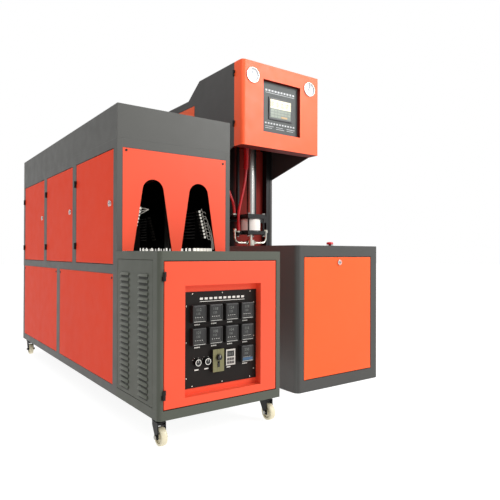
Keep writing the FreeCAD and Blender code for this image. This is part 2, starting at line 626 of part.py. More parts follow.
def control_cabinet(fixed_halves):
    """Cabinet in front of the oven: a shell, a louvered side panel and a recessed door."""
    size = ("cabinet_w", "cabinet_d", "cabinet_h")
    outer = solid_block(oven("0", "0", "oven_low"), size, "cabinet_r", front_left_upright)
    hollow = solid_block(oven("gauge", "gauge", "oven_low + gauge"),
                         ("cabinet_w - 2 * gauge", "cabinet_d - 2 * gauge", "cabinet_h - 2 * gauge"),
                         "cabinet_r - gauge", front_left_upright)
    doorway = box(oven("cdoor_left", "-gauge", "oven_low + cdoor_low"), ("cdoor_w", "3 * gauge", "cdoor_h"))
    vent = box(oven("-gauge", "louver_front", "oven_low + louver_low"), ("3 * gauge", "louver_w", "louver_h"))
    plates = [caster_plate(x, "caster_front", "oven_low") for x in ("caster_in", "cabinet_w - caster_in")]
    keep("cabinet_shell", fuse(cut(outer, hollow, doorway, vent), *plates))

    at = oven("0", "louver_front + seam", "oven_low + louver_low + seam")
    panel = pan(at, ("panel_thick", "louver_w - 2 * seam", "louver_h - 2 * seam"), "-x")
    slots = []
    for i in range(int(number("louver_rows"))):
        z = f"oven_low + louver_low + louver_low_row + {i} * louver_pitch"
        for column in ("louver_col_a", "louver_col_b"):
            at = oven("-gauge", f"louver_front + {column}", z)
            slots.append(box(at, ("3 * gauge", "louver_len", "louver_tall")))
    keep("louver_panel", cut(panel, group(slots)))

    at = oven("cdoor_left + door_gap", "0", "oven_low + cdoor_low + door_gap")
    size = ("cdoor_w - 2 * door_gap", "cdoor_thick", "cdoor_h - 2 * door_gap")
    block = solid_block(at, size, "edge_r", front_face)
    recess_at = oven("recess_left", "0", "oven_low + recess_low")
    door = recessed_door(block, at, size, recess_at, ("recess_w", "recess_deep", "recess_h"), ("12", "34"))
    halves = []
    for z in ("oven_low + cdoor_low + cab_hinge_in", "oven_low + cdoor_low + cdoor_h - cab_hinge_in"):
        moving, fixed = hinge(oven("cdoor_left + door_gap / 2", "0", z), "-y", "+x")
        halves.append(moving)
        fixed_halves.append(fixed)
    keep("control_door", fuse(door, *halves))


def meter_places():
    """Lower left corners of the nine plug-in controllers, from the cabinet's corner."""
    places = []
    for column in range(4):
        for row in (1, 2):
            places.append((f"meter_left + {column} * meter_pitch", f"meter_low + {row} * meter_row"))
    return places + [("meter_left + 3 * meter_pitch", "meter_low")]


def control_plate():
    """Plate in the recess, cut out for the instruments and the knobs' stems, and the instruments on it."""
    face = "(recess_deep - plate_thick)"
    at = oven("plate_left", face, "oven_low + plate_low")
    plate = box(at, ("plate_w", "plate_thick", "plate_h"))
    holes, units = [], []
    fronts = [(x, z, "meter_w", "meter_h", "meter_out") for x, z in meter_places()]
    fronts.append(("speed_left", "speed_low", "speed_w", "speed_h", "speed_out"))
    fronts.append(("keypad_left", "keypad_low", "keypad_w", "keypad_h", "keypad_out"))
    for x, z, wide, tall, out in fronts:
        low = f"oven_low + {z}"
        front = box(oven(x, f"{face} - {out}", low), (wide, out, tall))
        body_at = oven(f"{x} + 4 + fit_gap", face, f"{low} + 4 + fit_gap")
        body_size = (f"{wide} - 8 - 2 * fit_gap", "meter_back", f"{tall} - 8 - 2 * fit_gap")
        units.append(fuse(front, box(body_at, body_size)))
        opening = (f"{wide} - 8", "3 * plate_thick", f"{tall} - 8")
        holes.append(box(oven(f"{x} + 4", f"{face} - plate_thick", f"{low} + 4"), opening))
    for i in range(2):
        at = oven(f"knob_left + {i} * knob_pitch", f"{face} - plate_thick", "oven_low + knob_low")
        holes.append(round_bar(at, "knob_stem + pin_play", "3 * plate_thick", "y"))
    keep("control_plate", cut(plate, *holes))

    dial_at = oven("speed_left + speed_w / 2", f"{face} - speed_out - 1", "oven_low + speed_low + dial_up")
    slot_at = oven("speed_left + (speed_w - switch_w) / 2 - fit_gap", f"{face} - speed_out - 1",
                   "oven_low + speed_low + switch_up - fit_gap")
    dial_bore = round_bar(dial_at, "knob_stem + pin_play", "9", "y")
    slot = box(slot_at, ("switch_w + 2 * fit_gap", "6", "switch_h + switch_travel + 2 * fit_gap"))
    units[9] = cut(units[9], dial_bore, slot)
    keep("panel_instruments", group(units))


def knob(node, x, z, face, radius, tall, stem):
    """Turned knob with a pointer groove across its face, on a stem through what carries it."""
    low = f"{face} - fit_gap - {tall}"
    grip = cone(oven(x, low, z), f"{radius} - 1.5", radius, tall, "y")
    pin = round_bar(oven(x, f"{face} - 1", z), "knob_stem", stem, "y")
    groove = box(oven(f"{x} - 0.8", f"{low} - 1", z), ("1.6", "2", f"{radius} + 1"))
    keep(node, fuse(cut(grip, groove), pin))


def panel_controls():
    """Two rotary knobs on the plate, and the speed controller's knob and slide switch."""
    face = "(recess_deep - plate_thick)"
    for name, i in (("selector_knob_left", 0), ("selector_knob_right", 1)):
        knob(name, f"knob_left + {i} * knob_pitch", "oven_low + knob_low", face, "knob_r", "knob_tall", "14")
    knob("speed_knob", "speed_left + speed_w / 2", "oven_low + speed_low + dial_up",
         f"{face} - speed_out", "dial_r", "dial_tall", "7")
    at = oven("speed_left + (speed_w - switch_w) / 2", f"{face} - speed_out - 4",
              "oven_low + speed_low + switch_up")
    keep("speed_switch", box(at, ("switch_w", "8", "switch_h")))


# ---- Casters ----------------------------------------------------------------------------------------------

def caster_cheek(x, y):
    """Side of a fork, leaning forward from the swivel down to the axle."""
    body = doc.addObject("PartDesign::Body", "Cheek")
    sketch = new_sketch(body, "YZ_Plane")
    top, foot = "2 * wheel_r + fork_gap", "wheel_r - 2 * axle_r"
    outline(sketch, [("-trail - 2 * axle_r", foot), ("-trail + 2 * axle_r", foot), ("plate_half - 8", top),
                     ("plate_half - 8", f"{top} + 12"), ("-plate_half - 4", f"{top} + 12"), ("-plate_half - 4", top)])
    pad(body, sketch, "fork_gauge")
    return place(body, oven(x, y, "0"))


def caster_fork(x, y):
    """Fork with its swivel stud, crown and axle."""
    half = "(wheel_w / 2 + fork_gap)"
    crown_z = "(2 * wheel_r + fork_gap + 12)"
    top = "(oven_low - fork_gauge - fit_gap)"
    cheeks = [caster_cheek(f"{x} - {half} - fork_gauge", y), caster_cheek(f"{x} + {half}", y)]
    crown = box(oven(f"{x} - {half} - fork_gauge", f"{y} - plate_half - 4", crown_z),
                (f"2 * {half} + 2 * fork_gauge", "2 * plate_half - 4", "fork_gauge"))
    head = round_bar(oven(x, y, f"{crown_z} + fork_gauge"), "plate_half - 4", f"{top} - {crown_z} - fork_gauge")
    stud = round_bar(oven(x, y, crown_z), "swivel_r", f"oven_low - {crown_z} - fit_gap")
    axle_at = oven(f"{x} - {half} - fork_gauge - 5", f"{y} - trail", "wheel_r")
    axle = round_bar(axle_at, "axle_r", f"2 * {half} + 2 * fork_gauge + 10", "x")
    ends = []
    for end in (f"{x} - {half} - fork_gauge - 5", f"{x} + {half} + fork_gauge"):
        ends.append(round_bar(oven(end, f"{y} - trail", "wheel_r"), "axle_r + 3", "5", "x"))
    return fuse(crown, head, stud, axle, *cheeks, *ends)


def caster_wheel(x, y):
    """Wheel with a crowned tread: a slice of a ball, dished on both sides."""
    disc = round_bar(oven(f"{x} - wheel_w / 2", f"{y} - trail", "wheel_r"), "wheel_r + 5", "wheel_w", "x")
    ball = doc.addObject("Part::Sphere", "Ball")
    ball.setExpression("Radius", rule("wheel_r"))
    place(ball, oven(x, f"{y} - trail", "wheel_r"), ALONG["x"])
    crowned = doc.addObject("Part::Common", "Crowned")
    crowned.Base, crowned.Tool = disc, ball
    bore_at = oven(f"{x} - wheel_w", f"{y} - trail", "wheel_r")
    bore = round_bar(bore_at, "axle_r + pin_play", "2 * wheel_w", "x")
    dishes = []
    for side in (f"{x} - wheel_w / 2 - 1", f"{x} + wheel_w / 2 - 5"):
        at = oven(side, f"{y} - trail", "wheel_r")
        dishes.append(cut(round_bar(at, "wheel_r - 9", "6", "x"), round_bar(at, "axle_r + 6", "6", "x")))
    return cut(crowned, bore, group(dishes))


def casters():
    """Swivelling casters under the cabinet's front, fixed ones under the oven's back."""
    rear_y = "cabinet_d + oven_len - caster_back"
    keep("front_fork_left", caster_fork("caster_in", "caster_front"))
    keep("front_fork_right", caster_fork("(cabinet_w - caster_in)", "caster_front"))
    rear = [caster_fork(x, rear_y) for x in ("caster_in", "(oven_w - caster_in)")]
    keep("rear_forks", group(rear))
    keep("front_wheel_left", caster_wheel("caster_in", "caster_front"))
    keep("front_wheel_right", caster_wheel("(cabinet_w - caster_in)", "caster_front"))
    keep("rear_wheel_left", caster_wheel("caster_in", rear_y))
    keep("rear_wheel_right", caster_wheel("(oven_w - caster_in)", rear_y))


# ---- Blowing unit: base, covers and column ----------------------------------------------------------------

def front_cover():
    """Cover of the clamp: front, sides and table top, open over and beside the mould space."""
    outer = solid_block((BLOWER_L, "-front_reach", "0"),
                        ("blower_w", "front_reach + column_front - seam", "cover_h"), "cover_r", front_left_upright)
    hollow = solid_block((f"{BLOWER_L} + shell", "-front_reach + shell", "-shell"),
                         ("blower_w - 2 * shell", "front_reach + column_front", "cover_h"),
                         "cover_r - shell", front_left_upright)
    above = box((f"{BLOWER_L} + shell", "-table_reach", "cover_h - 2 * shell"),
                ("blower_w", "table_reach + column_front", "3 * shell"))
    beside = box(("0", "-table_reach", "sill"), ("blower_w", "table_reach + column_front", "cover_h"))
    doorway = box(("-access_w / 2", "-front_reach - shell", "access_low"), ("access_w", "3 * shell", "access_h"))
    stop_at = ("estop_right", "-front_reach + estop_back")
    collar = round_bar((*stop_at, "cover_h"), "estop_r", "shell")
    bore = round_bar((*stop_at, "cover_h - 2 * shell"), "estop_neck + fit_gap", "4 * shell")
    keep("front_cover", cut(fuse(cut(outer, hollow, above, beside, doorway), collar), bore))
    neck = round_bar((*stop_at, "cover_h - shell"), "estop_neck", "2 * shell + estop_travel + fit_gap + 1")
    cap = cone((*stop_at, "cover_h + shell + estop_travel + fit_gap"), "estop_r", "estop_r - 3", "estop_tall")
    keep("estop_button", fuse(neck, cap))


def access_door(fixed_halves):
    """Front door of the clamp cover, pivoted at its foot, with a cam lock at the top."""
    gap = "door_gap"
    at = [f"-access_w / 2 + {gap}", "-front_reach", f"access_low + {gap}"]
    size = (f"access_w - 2 * {gap}", "door_thick", f"access_h - 2 * {gap}")
    skin = pan(at, size, "-y")
    lock_z = "access_low + access_h - access_lock_down"
    tools = [round_bar(("0", "-front_reach - 1", lock_z), "lock_r + fit_gap", "door_thick", "y")]
    y, z = "-front_reach + 2 * pin_r", f"access_low + {gap} + 2 * pin_r"
    for x in (f"-access_w / 2 + {gap}", f"access_w / 2 - {gap} - 14"):
        tools.append(round_bar((f"{x} - 1", y, z), "pin_r + pin_play", "16", "x"))
    lugs = [box((f"-access_w / 2 + {gap}", at[1], at[2]), ("14", "4 * pin_r", "4 * pin_r")),
            box((f"access_w / 2 - {gap} - 14", at[1], at[2]), ("14", "4 * pin_r", "4 * pin_r"))]
    keep("access_door", cut(fuse(skin, *lugs), *tools))
    for x in ("-access_w / 2 - 8", "access_w / 2 - 11"):
        pin = round_bar((x, y, z), "pin_r", "19", "x")
        plate_x = "-access_w / 2 - 8" if x.startswith("-") else "access_w / 2 + 5"
        ear = box((plate_x, "-front_reach + shell", "access_low"), ("3", "18", "24"))
        fixed_halves.append(fuse(pin, ear))
    head = cone(("0", "-front_reach - lock_proud - fit_gap", lock_z), "lock_r", "lock_head_r", "lock_proud", "y")
    stem = round_bar(("0", "-front_reach - fit_gap", lock_z), "lock_r", "door_thick + 6 + fit_gap", "y")
    tongue = box(("-lock_r", "-front_reach + door_thick + 3", f"{lock_z} - lock_r"),
                 ("tongue_len + lock_r", "gauge + 1", "2 * lock_r"))
    keep("access_lock", fuse(head, stem, tongue))


def blower_base():
    """Floor plate of the blowing unit."""
    at = (f"{BLOWER_L} + shell", "-front_reach + shell", "0")
    size = ("blower_w - 2 * shell", "blower_len - 2 * shell", "base_thick")
    keep("blower_base", solid_block(at, size, "cover_r - shell", front_left_upright))


def side_profile(points, width):
    """Solid of a side outline, given as (y, z) rules, centred on the machine's middle plane."""
    body = doc.addObject("PartDesign::Body", "Profile")
    sketch = new_sketch(body, "YZ_Plane")
    outline(sketch, points)
    pad(body, sketch, width, middle=True)
    return body


def upper_shell():
    """Both side plates and the top of head and body, folded as one, with windows for the orange panels."""
    outer = side_profile([("-head_seam + seam", "head_low"), ("-head_seam + seam", "head_high"),
                          ("head_slope", "head_high"), ("slope_end", "body_high"), (BLOWER_B, "body_high"),
                          (BLOWER_B, "0"), ("column_front", "0"), ("column_front", "brace_z")], "blower_w")
    pitch = "atan((head_high - body_high) / (slope_end - head_slope))"
    shift = f"shell * tan({pitch} / 2)"
    inner = side_profile([("-head_seam - shell", "-shell"), ("-head_seam - shell", "head_high - shell"),
                          (f"head_slope - {shift}", "head_high - shell"),
                          (f"slope_end - {shift}", "body_high - shell"),
                          (f"{BLOWER_B} + shell", "body_high - shell"), (f"{BLOWER_B} + shell", "-shell")],
                         "blower_w - 2 * shell")
    window = box(("-blower_w", "side_front", "side_margin"),
                 ("2 * blower_w", f"{BLOWER_B} - side_front - side_margin", "body_high - 2 * side_margin"))
    returns = []
    for x in (f"{BLOWER_L} + shell", "blower_w / 2 - shell - return_w"):
        returns.append(box((x, "column_front", "cover_h"), ("return_w", "shell", "brace_z - cover_h")))
    keep("upper_shell", fuse(cut(outer, inner, window), *returns))


def body_panels():
    """Orange panels: both sides of the body, its back, and the wall behind the nozzle."""
    panels = []
    at_y, at_z = "side_front + seam", "side_margin + seam"
    size = ("panel_thick", f"{BLOWER_B} - side_front - side_margin - 2 * seam",
            "body_high - 2 * side_margin - 2 * seam")
    for x, face in ((BLOWER_L, "-x"), ("blower_w / 2 - panel_thick", "+x")):
        panels.append(pan((x, at_y, at_z), size, face))
    at = (f"{BLOWER_L} + shell + seam", f"{BLOWER_B} - panel_thick", "base_thick + seam")
    size = ("blower_w - 2 * shell - 2 * seam", "panel_thick", "body_high - shell - base_thick - 2 * seam")
    panels.append(pan(at, size, "+y"))
    at = ("-guide_half / 2", "column_front + shell + column_w", "cover_h")
    size = ("guide_half / 2 + blower_w / 2 - shell - column_w", "gauge", "arm_z - cover_h")
    panels.append(box(at, size))
    keep("body_panels", group(panels))


def column_frame():
    """Posts of the column and body, the arms under the head, the cylinder shelf and the nozzle beam."""
    tubes = []
    inside = "(blower_w / 2 - shell)"
    post_y = "(column_front + shell)"
    for x in (f"-{inside}", f"{inside} - column_w"):
        size = ("column_w", "column_d", f"{SHELF_Z} - base_thick")
        tubes.append(tube((x, post_y, "base_thick"), size, "z"))
        size = ("column_w", "side_margin - panel_thick", "body_high - shell - base_thick")
        tubes.append(tube((x, f"{BLOWER_B} - side_margin", "base_thick"), size, "z"))
        tubes.append(tube((x, "-head_seam + 20", "arm_z"), ("column_w", f"{post_y} + head_seam - 20", "column_w"), "y"))
    beam_w = f"2 * ({inside} - column_w)"
    beam_z = "flange_z + (flange_tall - column_w) / 2"
    tubes.append(tube((f"-{inside} + column_w", post_y, beam_z), (beam_w, "column_w", "column_w"), "x"))
    shelf = box((f"-{inside}", "-shelf_half", SHELF_Z), (f"2 * {inside}", "2 * shelf_half", "shelf_thick"))
    bore = round_bar(("0", "0", f"{SHELF_Z} - shelf_thick"), "barrel_r + fit_gap", "3 * shelf_thick")
    tubes.append(cut(shelf, bore))
    keep("column_frame", group(tubes))


# ---- Blowing unit: head door with the screen and gauges ---------------------------------------------------

def head_door(fixed_halves):
    """Deep front door of the head, with a recess for the touch screen and two pressure gauges."""
    at = (BLOWER_L, "-head_seam - head_deep", "head_low")
    size = ("blower_w", "head_deep", "head_high - head_low")
    block = solid_block(at, size, "head_r", front_left_upright)
    recess_at = (f"{BLOWER_L} + screen_left", at[1], "head_low + screen_low")
    recess = ("screen_w", "screen_deep", "screen_h")
    door = recessed_door(block, at, size, recess_at, recess, ("30", "30"), "head_r")
    halves, gauges, holes = [], [], []
    for z in ("head_low + head_hinge_low", "head_low + head_hinge_high"):
        moving, fixed = hinge((BLOWER_L, "-head_seam + seam / 2", z), "-x", "-y")
        halves.append(moving)
        fixed_halves.append(fixed)
    z = "head_low + dial_gauge_z"
    front = f"{at[1]} - dial_gauge_out"
    for name, x in (("left", f"{BLOWER_L} + dial_gauge_in"), ("right", "blower_w / 2 - dial_gauge_in")):
        case = fuse(round_bar((x, front, z), "dial_gauge_r", "dial_gauge_out", "y"),
                    round_bar((x, at[1], z), "dial_gauge_r - 4", "dial_gauge_back", "y"))
        well = round_bar((x, f"{front} - 1", z), "dial_gauge_r - 4", "5", "y")
        stud_bore = round_bar((x, front, z), "2 + pin_play", "8", "y")
        gauges.append(cut(case, well, stud_bore))
        holes.append(round_bar((x, f"{at[1]} - 1", z), "dial_gauge_r - 4 + fit_gap", "9", "y"))
        stud = round_bar((x, f"{front} + 2", z), "2", "6", "y")
        hub = round_bar((x, f"{front} + 2", z), "5", "1.2", "y")
        pointer = box((f"{x} - 1", f"{front} + 2.2", f"{z} - 10"), ("2", "0.8", "needle_len + 10"))
        keep(f"gauge_needle_{name}", fuse(stud, hub, pointer))
    keep("head_door", fuse(cut(door, *holes), *halves))
    keep("pressure_gauges", group(gauges))


def touch_screen():
    """Backing plate in the head door's recess and the touch panel through it."""
    left, low = f"({BLOWER_L} + screen_left)", "(head_low + screen_low)"
    face = "(-head_seam - head_deep + screen_deep - gauge)"
    plate = box((f"{left} + seam", face, f"{low} + seam"), ("screen_w - 2 * seam", "gauge", "screen_h - 2 * seam"))
    x, z = f"({BLOWER_L} + hmi_left)", "(head_low + hmi_low)"
    opening = box((f"{x} + 6", f"{face} - 1", f"{z} + 6"), ("hmi_w - 12", "3 * gauge", "hmi_h - 12"))
    keep("screen_plate", cut(plate, opening))
    front = box((x, f"{face} - hmi_out", z), ("hmi_w", "hmi_out", "hmi_h"))
    back = box((f"{x} + 6 + fit_gap", face, f"{z} + 6 + fit_gap"),
               ("hmi_w - 12 - 2 * fit_gap", "head_deep - screen_deep - 30", "hmi_h - 12 - 2 * fit_gap"))
    keep("touch_panel", fuse(front, back))


# ---- Blowing unit: stretch and sealing cylinders ----------------------------------------------------------

def stretch_cylinder():
    """Long cylinder hung from the shelf, and the stretch rod with its piston inside."""
    top = f"({SHELF_Z} + shelf_thick)"
    barrel = round_bar(("0", "0", BARREL_Z), "barrel_r", f"{top} - {BARREL_Z}")
    collar = round_bar(("0", "0", top), "barrel_r + 12", "20")
    bore = round_bar(("0", "0", f"{BARREL_Z} - 1"), "barrel_bore", f"{top} - {BARREL_Z} + 9")
    keep("stretch_cylinder", cut(fuse(barrel, collar), bore))
    piston_z = f"({top} - piston_tall - 10)"
    rod = round_bar(("0", "0", "block_z + 4"), "rod_r", f"{piston_z} - block_z")
    piston = round_bar(("0", "0", piston_z), "barrel_bore - fit_gap", "piston_tall")
    keep("stretch_rod", fuse(rod, piston))


def flange_plate(z, tall, hole_r):
    plate = box(("-flange / 2", "-flange / 2", z), ("flange", "flange", tall))
    return cut(plate, round_bar(("0", "0", f"{z} - 1"), hole_r, f"{tall} + 2"))


def seal_flanges():
    """Flanges, tie rods and nuts of the sealing cylinder, its bracket, the guide bars and hose fittings."""
    low_z = "(flange_z - seal_tall - low_flange)"
    bracket = box(("-guide_half - 20", "guide_back - 25", "flange_z"),
                  ("2 * guide_half + 40", "column_front + shell - guide_back + 25", "flange_tall"))
    solids = [fuse(flange_plate("flange_z", "flange_tall", "rod_r + fit_gap"), bracket),
              flange_plate(low_z, "low_flange", "neck_r + fit_gap")]
    for x in ("-tie_half", "tie_half"):
        for y in ("-tie_half", "tie_half"):
            solids.append(round_bar((x, y, "flange_z - seal_tall"), "tie_r", "seal_tall"))
            solids.append(round_bar((x, y, f"{low_z} - 9"), "tie_r + 4", "9"))
    for x in ("-guide_half", "guide_half"):
        solids.append(round_bar((x, "guide_back", BARREL_Z), "guide_r", f"{SHELF_Z} - {BARREL_Z}"))
    for x, y, z, reach in (MAIN_PORT, SECOND_PORT):
        arm = round_bar((x, y, f"{z} - 12"), "fitting_r - 3", reach, "x")
        solids.append(fuse(arm, round_bar((x, y, f"{z} - fitting_tall"), "fitting_r", "fitting_tall")))
    for x, y, z in (MAIN_SUPPLY, SECOND_SUPPLY):
        solids.append(round_bar((x, y, z), "fitting_r", f"{SHELF_Z} - ({z})"))
    keep("seal_flanges", group(solids))


def seal_cylinder():
    """White barrel between the flanges."""
    at = ("0", "0", "flange_z - seal_tall")
    keep("seal_cylinder", cut(round_bar(at, "seal_r", "seal_tall"), round_bar(at, "seal_bore", "seal_tall")))


def nozzle_head():
    """Sealing piston with its neck, the blowing nozzle and two bent air pipes."""
    low = "(flange_z - seal_tall)"
    mid = "(block_z + block_tall / 2)"
    piston_z = f"({low} + seal_stroke + fit_gap + 4)"
    solids = [round_bar(("0", "0", "block_z"), "block_r", "block_tall"),
              round_bar(("0", "0", "block_z + block_tall"), "neck_r", f"{piston_z} - block_z - block_tall"),
              round_bar(("0", "0", piston_z), "seal_bore - fit_gap", "seal_piston")]
    reach = "(elbow_reach - elbow_bend - block_r + 4)"
    for sign, turn in (("", Rotation()), ("-", Rotation(Vector(0, 0, 1), 180))):
        start = "block_r - 4" if sign == "" else f"-(elbow_reach - elbow_bend)"
        solids.append(round_bar((start, "0", mid), "elbow_r", reach, "x"))
        bend = doc.addObject("Part::Torus", "Bend")
        bend.setExpression("Radius1", rule("elbow_bend"))
        bend.setExpression("Radius2", rule("elbow_r"))
        bend.Angle3 = 90
        centre = (f"{sign}(elbow_reach - elbow_bend)", "0", f"{mid} + elbow_bend")
        solids.append(place(bend, centre, turn * Rotation(Vector(1, 0, 0), -90)))
        x = f"{sign}elbow_reach"
        rise = f"elbow_top - {mid} - elbow_bend"
        solids.append(round_bar((x, "0", f"{mid} + elbow_bend"), "elbow_r", rise))
        solids.append(round_bar((x, "0", "elbow_top"), "nut_r", "nut_tall"))
    bore = round_bar(("0", "0", "block_z - 1"), "rod_r + fit_gap", f"{piston_z} + seal_piston - block_z + 2")
    keep("nozzle_head", cut(fuse(*solids), bore))


# ---- Blowing unit: mould clamp and air supply -------------------------------------------------------------

def bar_places():
    return [(x, f"clamp_z {side} bar_rise") for x in ("-bar_half", "bar_half") for side in "+-"]


def platen(y, low, extra):
    """Platen plate with its four tie bar holes and any further holes."""
    plate = box(("-platen_half", y, low), ("2 * platen_half", "platen", f"platen_top - {low}"))
    holes = [round_bar((x, f"{y} - 1", z), "bar_r + fit_gap", "platen + 2", "y") for x, z in bar_places()]
    return cut(plate, *holes, *extra)


def mould_bolts(y):
    """Holes of the rectangle that a mould half is bolted to."""
    return [round_bar((x, f"{y} - 1", f"clamp_z {side} bolt_half_z"), "bolt_r", "platen + 2", "y")
            for x in ("-bolt_half_x", "bolt_half_x") for side in "+-"]


def mould_clamp():
    """Fixed platens on four tie bars, the moving platen with its ram, and the clamp cylinder."""
    front_y = "(-end_platen - platen)"
    ram_hole = round_bar(("0", f"{front_y} - 1", "clamp_z"), "ram_r + fit_gap", "platen + 2", "y")
    solids = [platen(front_y, "base_thick", [ram_hole]), platen("mould_half", "base_thick", mould_bolts("mould_half"))]
    for x, z in bar_places():
        long = f"mould_half + platen + bar_nut - {front_y} + bar_nut"
        solids.append(round_bar((x, f"{front_y} - bar_nut", z), "bar_r", long, "y"))
        for y in (f"{front_y} - bar_nut", "mould_half + platen"):
            ring = round_bar((x, y, z), "bar_nut_r", "bar_nut", "y")
            solids.append(cut(ring, round_bar((x, y, z), "bar_r + pin_play", "bar_nut", "y")))
    keep("clamp_frame", group(solids))

    y = "(-mould_half - clamp_stroke - platen)"
    ram_y = f"({PRESS_Y} + press_wall + 4)"
    ram = round_bar(("0", ram_y, "clamp_z"), "ram_r", f"{y} - {ram_y}", "y")
    piston = round_bar(("0", ram_y, "clamp_z"), "press_r - press_wall - fit_gap", "ram_piston", "y")
    keep("moving_platen", fuse(platen(y, "platen_low", mould_bolts(y)), ram, piston))
    barrel = round_bar(("0", PRESS_Y, "clamp_z"), "press_r", "press_len", "y")
    bore = round_bar(("0", f"{PRESS_Y} + press_wall", "clamp_z"), "press_r - press_wall", "press_len", "y")
    keep("clamp_cylinder", cut(barrel, bore))


def air_receiver():
    """Upright receiver for the blowing air on three legs, with the valve block on top."""
    top_z = "tank_leg + tank_dome + tank_tall"
    walls = []
    for wall in ("0", "shell"):
        wide, narrow, dome = f"tank_r - {wall}", f"tank_r / 3 - {wall}", f"tank_dome - {wall}"
        walls.append(fuse(round_bar(("0", "tank_back", "tank_leg + tank_dome"), wide, "tank_tall"),
                          cone(("0", "tank_back", top_z), wide, narrow, dome),
                          cone(("0", "tank_back", f"tank_leg + {wall}"), narrow, wide, dome)))
    legs = []
    for angle in (90, 210, 330):
        at = (f"tank_r * 0.7 * cos({angle})", f"tank_back + tank_r * 0.7 * sin({angle})", "base_thick")
        legs.append(round_bar(at, "tie_r + 4", "tank_leg + tank_dome - base_thick"))
    block = box(("-60", "tank_back - 40", f"{top_z} + tank_dome"), ("120", "80", "90"))
    coils = [round_bar((x, "tank_back", f"{top_z} + tank_dome + 90"), "18", "60") for x in ("-32", "32")]
    keep("air_receiver", cut(fuse(walls[0], block, *coils, *legs), walls[1]))


# ---- Air hoses --------------------------------------------------------------------------------------------

# Ports: x, y and top of the upright spigot, then the reach of its arm back to the flange.
MAIN_PORT = ("-flange / 2 - port_out", "0", "flange_z - seal_tall + 1", "port_out")
SECOND_PORT = ("-guide_half - 37", "45", "flange_z + flange_tall + 8", "17")
MAIN_SUPPLY = ("-58", "-20", "1586")
SECOND_SUPPLY = ("-224", "70", "1586")

# Routes of the two free hoses, from the fitting under the shelf down to the port on the flange.
MAIN_ROUTE = [(-58, -20, 1586), (-58, -20, 1490), (-53, -18, 1395), (-58, -16, 1300), (-76, -13, 1205),
              (-98, -8, 1112), (-110, -3, 1040), (-105, 0, 980), (-105, 0, 921)]
SECOND_ROUTE = [(-224, 70, 1586), (-224, 70, 1496), (-215, 64, 1404), (-198, 57, 1316), (-175, 50, 1240),
                (-144, 46, 1172), (-112, 45, 1106), (-112, 45, 1047)]


def hose(node, route):
    """Tube along straight runs that tangent arcs join, each arc as large as its two runs allow."""
    radius = number("hose_r")
    points = [Vector(*point) for point in route]
    start, edges, report = points[0], [], []
    for before, corner, after in zip(points, points[1:], points[2:]):
        back, ahead = before - corner, after - corner
        turn = 3.141592653589793 - back.getAngle(ahead)
        if turn < 1e-3:
            continue
        cut_back = 0.45 * min(back.Length, ahead.Length)
        arc_r = cut_back / tan(turn / 2)
        report.append(round(arc_r))
        entry = corner + back.normalize() * cut_back
        leave = corner + ahead.normalize() * cut_back
        chord = (entry + leave) * 0.5
        middle_way = (chord - corner).normalize()
        half = (entry - leave).Length / 2
        centre = chord + middle_way * ((arc_r ** 2 - half ** 2) ** 0.5)
        edges.append(Part.LineSegment(start, entry).toShape())
        edges.append(Part.Arc(entry, centre - middle_way * arc_r, leave).toShape())
        start = leave
    edges.append(Part.LineSegment(start, points[-1]).toShape())
    path = Part.Wire(edges)
    circle = Part.Circle(points[0], points[1] - points[0], radius)
    item = doc.addObject("Part::Feature", "Hose")
    item.Shape = path.makePipeShell([Part.Wire([circle.toShape()])], True, False)
    expected = 3.141592653589793 * radius ** 2 * path.Length
    print(f"{node}: length {path.Length:.0f}, arc radii {report}, volume ratio {item.Shape.Volume / expected:.4f}")
    keep(node, item)


# ---- Build, check and write -------------------------------------------------------------------------------

def build():
    fixed_halves = []
    oven_frame()
    fixed_panels()
    panel_screws()
    oven_hood()
    arch_panel()
    oven_doors(fixed_halves)
    oven_deck()
    chain_wheels()
    mandrel_chain()
    chain_motor()
    lamp_modules()
    control_cabinet(fixed_halves)
    control_plate()
    panel_controls()
    casters()
    front_cover()
    access_door(fixed_halves)
    blower_base()
    upper_shell()
    body_panels()
    column_frame()
    head_door(fixed_halves)
    touch_screen()
    stretch_cylinder()
    seal_flanges()
    seal_cylinder()
    nozzle_head()
    mould_clamp()
    air_receiver()
    hose("air_hose_main", MAIN_ROUTE)
    hose("air_hose_second", SECOND_ROUTE)
    keep("hinge_pins", group(fixed_halves))


def check():
    """Stop on any failed feature and on any sub-part that is empty or not valid."""
    failed = [item.Label for item in doc.Objects if {"Invalid", "Error"} & set(item.State)]
    bad = [item.Label for item in nodes if item.Shape.isNull() or not item.Shape.isValid() or not item.Shape.Solids]
    if failed or bad:
        raise RuntimeError(f"failed features {failed}, bad sub-parts {bad}")


build()
doc.recompute()
check()
os.makedirs("parts", exist_ok=True)
for item in nodes:
    item.Shape.exportStep(f"parts/{item.Label}.step")
print(f"{len(nodes)} nodes written")
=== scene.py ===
import random
from math import cos, radians, sin

import bpy
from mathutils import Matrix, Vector


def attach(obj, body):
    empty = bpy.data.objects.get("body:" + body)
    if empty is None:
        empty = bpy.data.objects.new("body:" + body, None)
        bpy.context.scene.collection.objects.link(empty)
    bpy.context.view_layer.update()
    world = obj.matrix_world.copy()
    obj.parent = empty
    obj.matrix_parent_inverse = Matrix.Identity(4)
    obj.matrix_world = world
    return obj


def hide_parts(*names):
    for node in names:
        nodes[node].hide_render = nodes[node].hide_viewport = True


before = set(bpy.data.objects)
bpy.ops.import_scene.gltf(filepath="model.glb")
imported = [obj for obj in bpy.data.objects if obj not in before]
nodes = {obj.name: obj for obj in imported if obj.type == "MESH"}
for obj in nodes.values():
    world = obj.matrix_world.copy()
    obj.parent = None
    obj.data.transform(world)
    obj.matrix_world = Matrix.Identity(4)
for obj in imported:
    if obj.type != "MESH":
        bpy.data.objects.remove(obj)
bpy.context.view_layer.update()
bpy.ops.object.select_all(action="DESELECT")

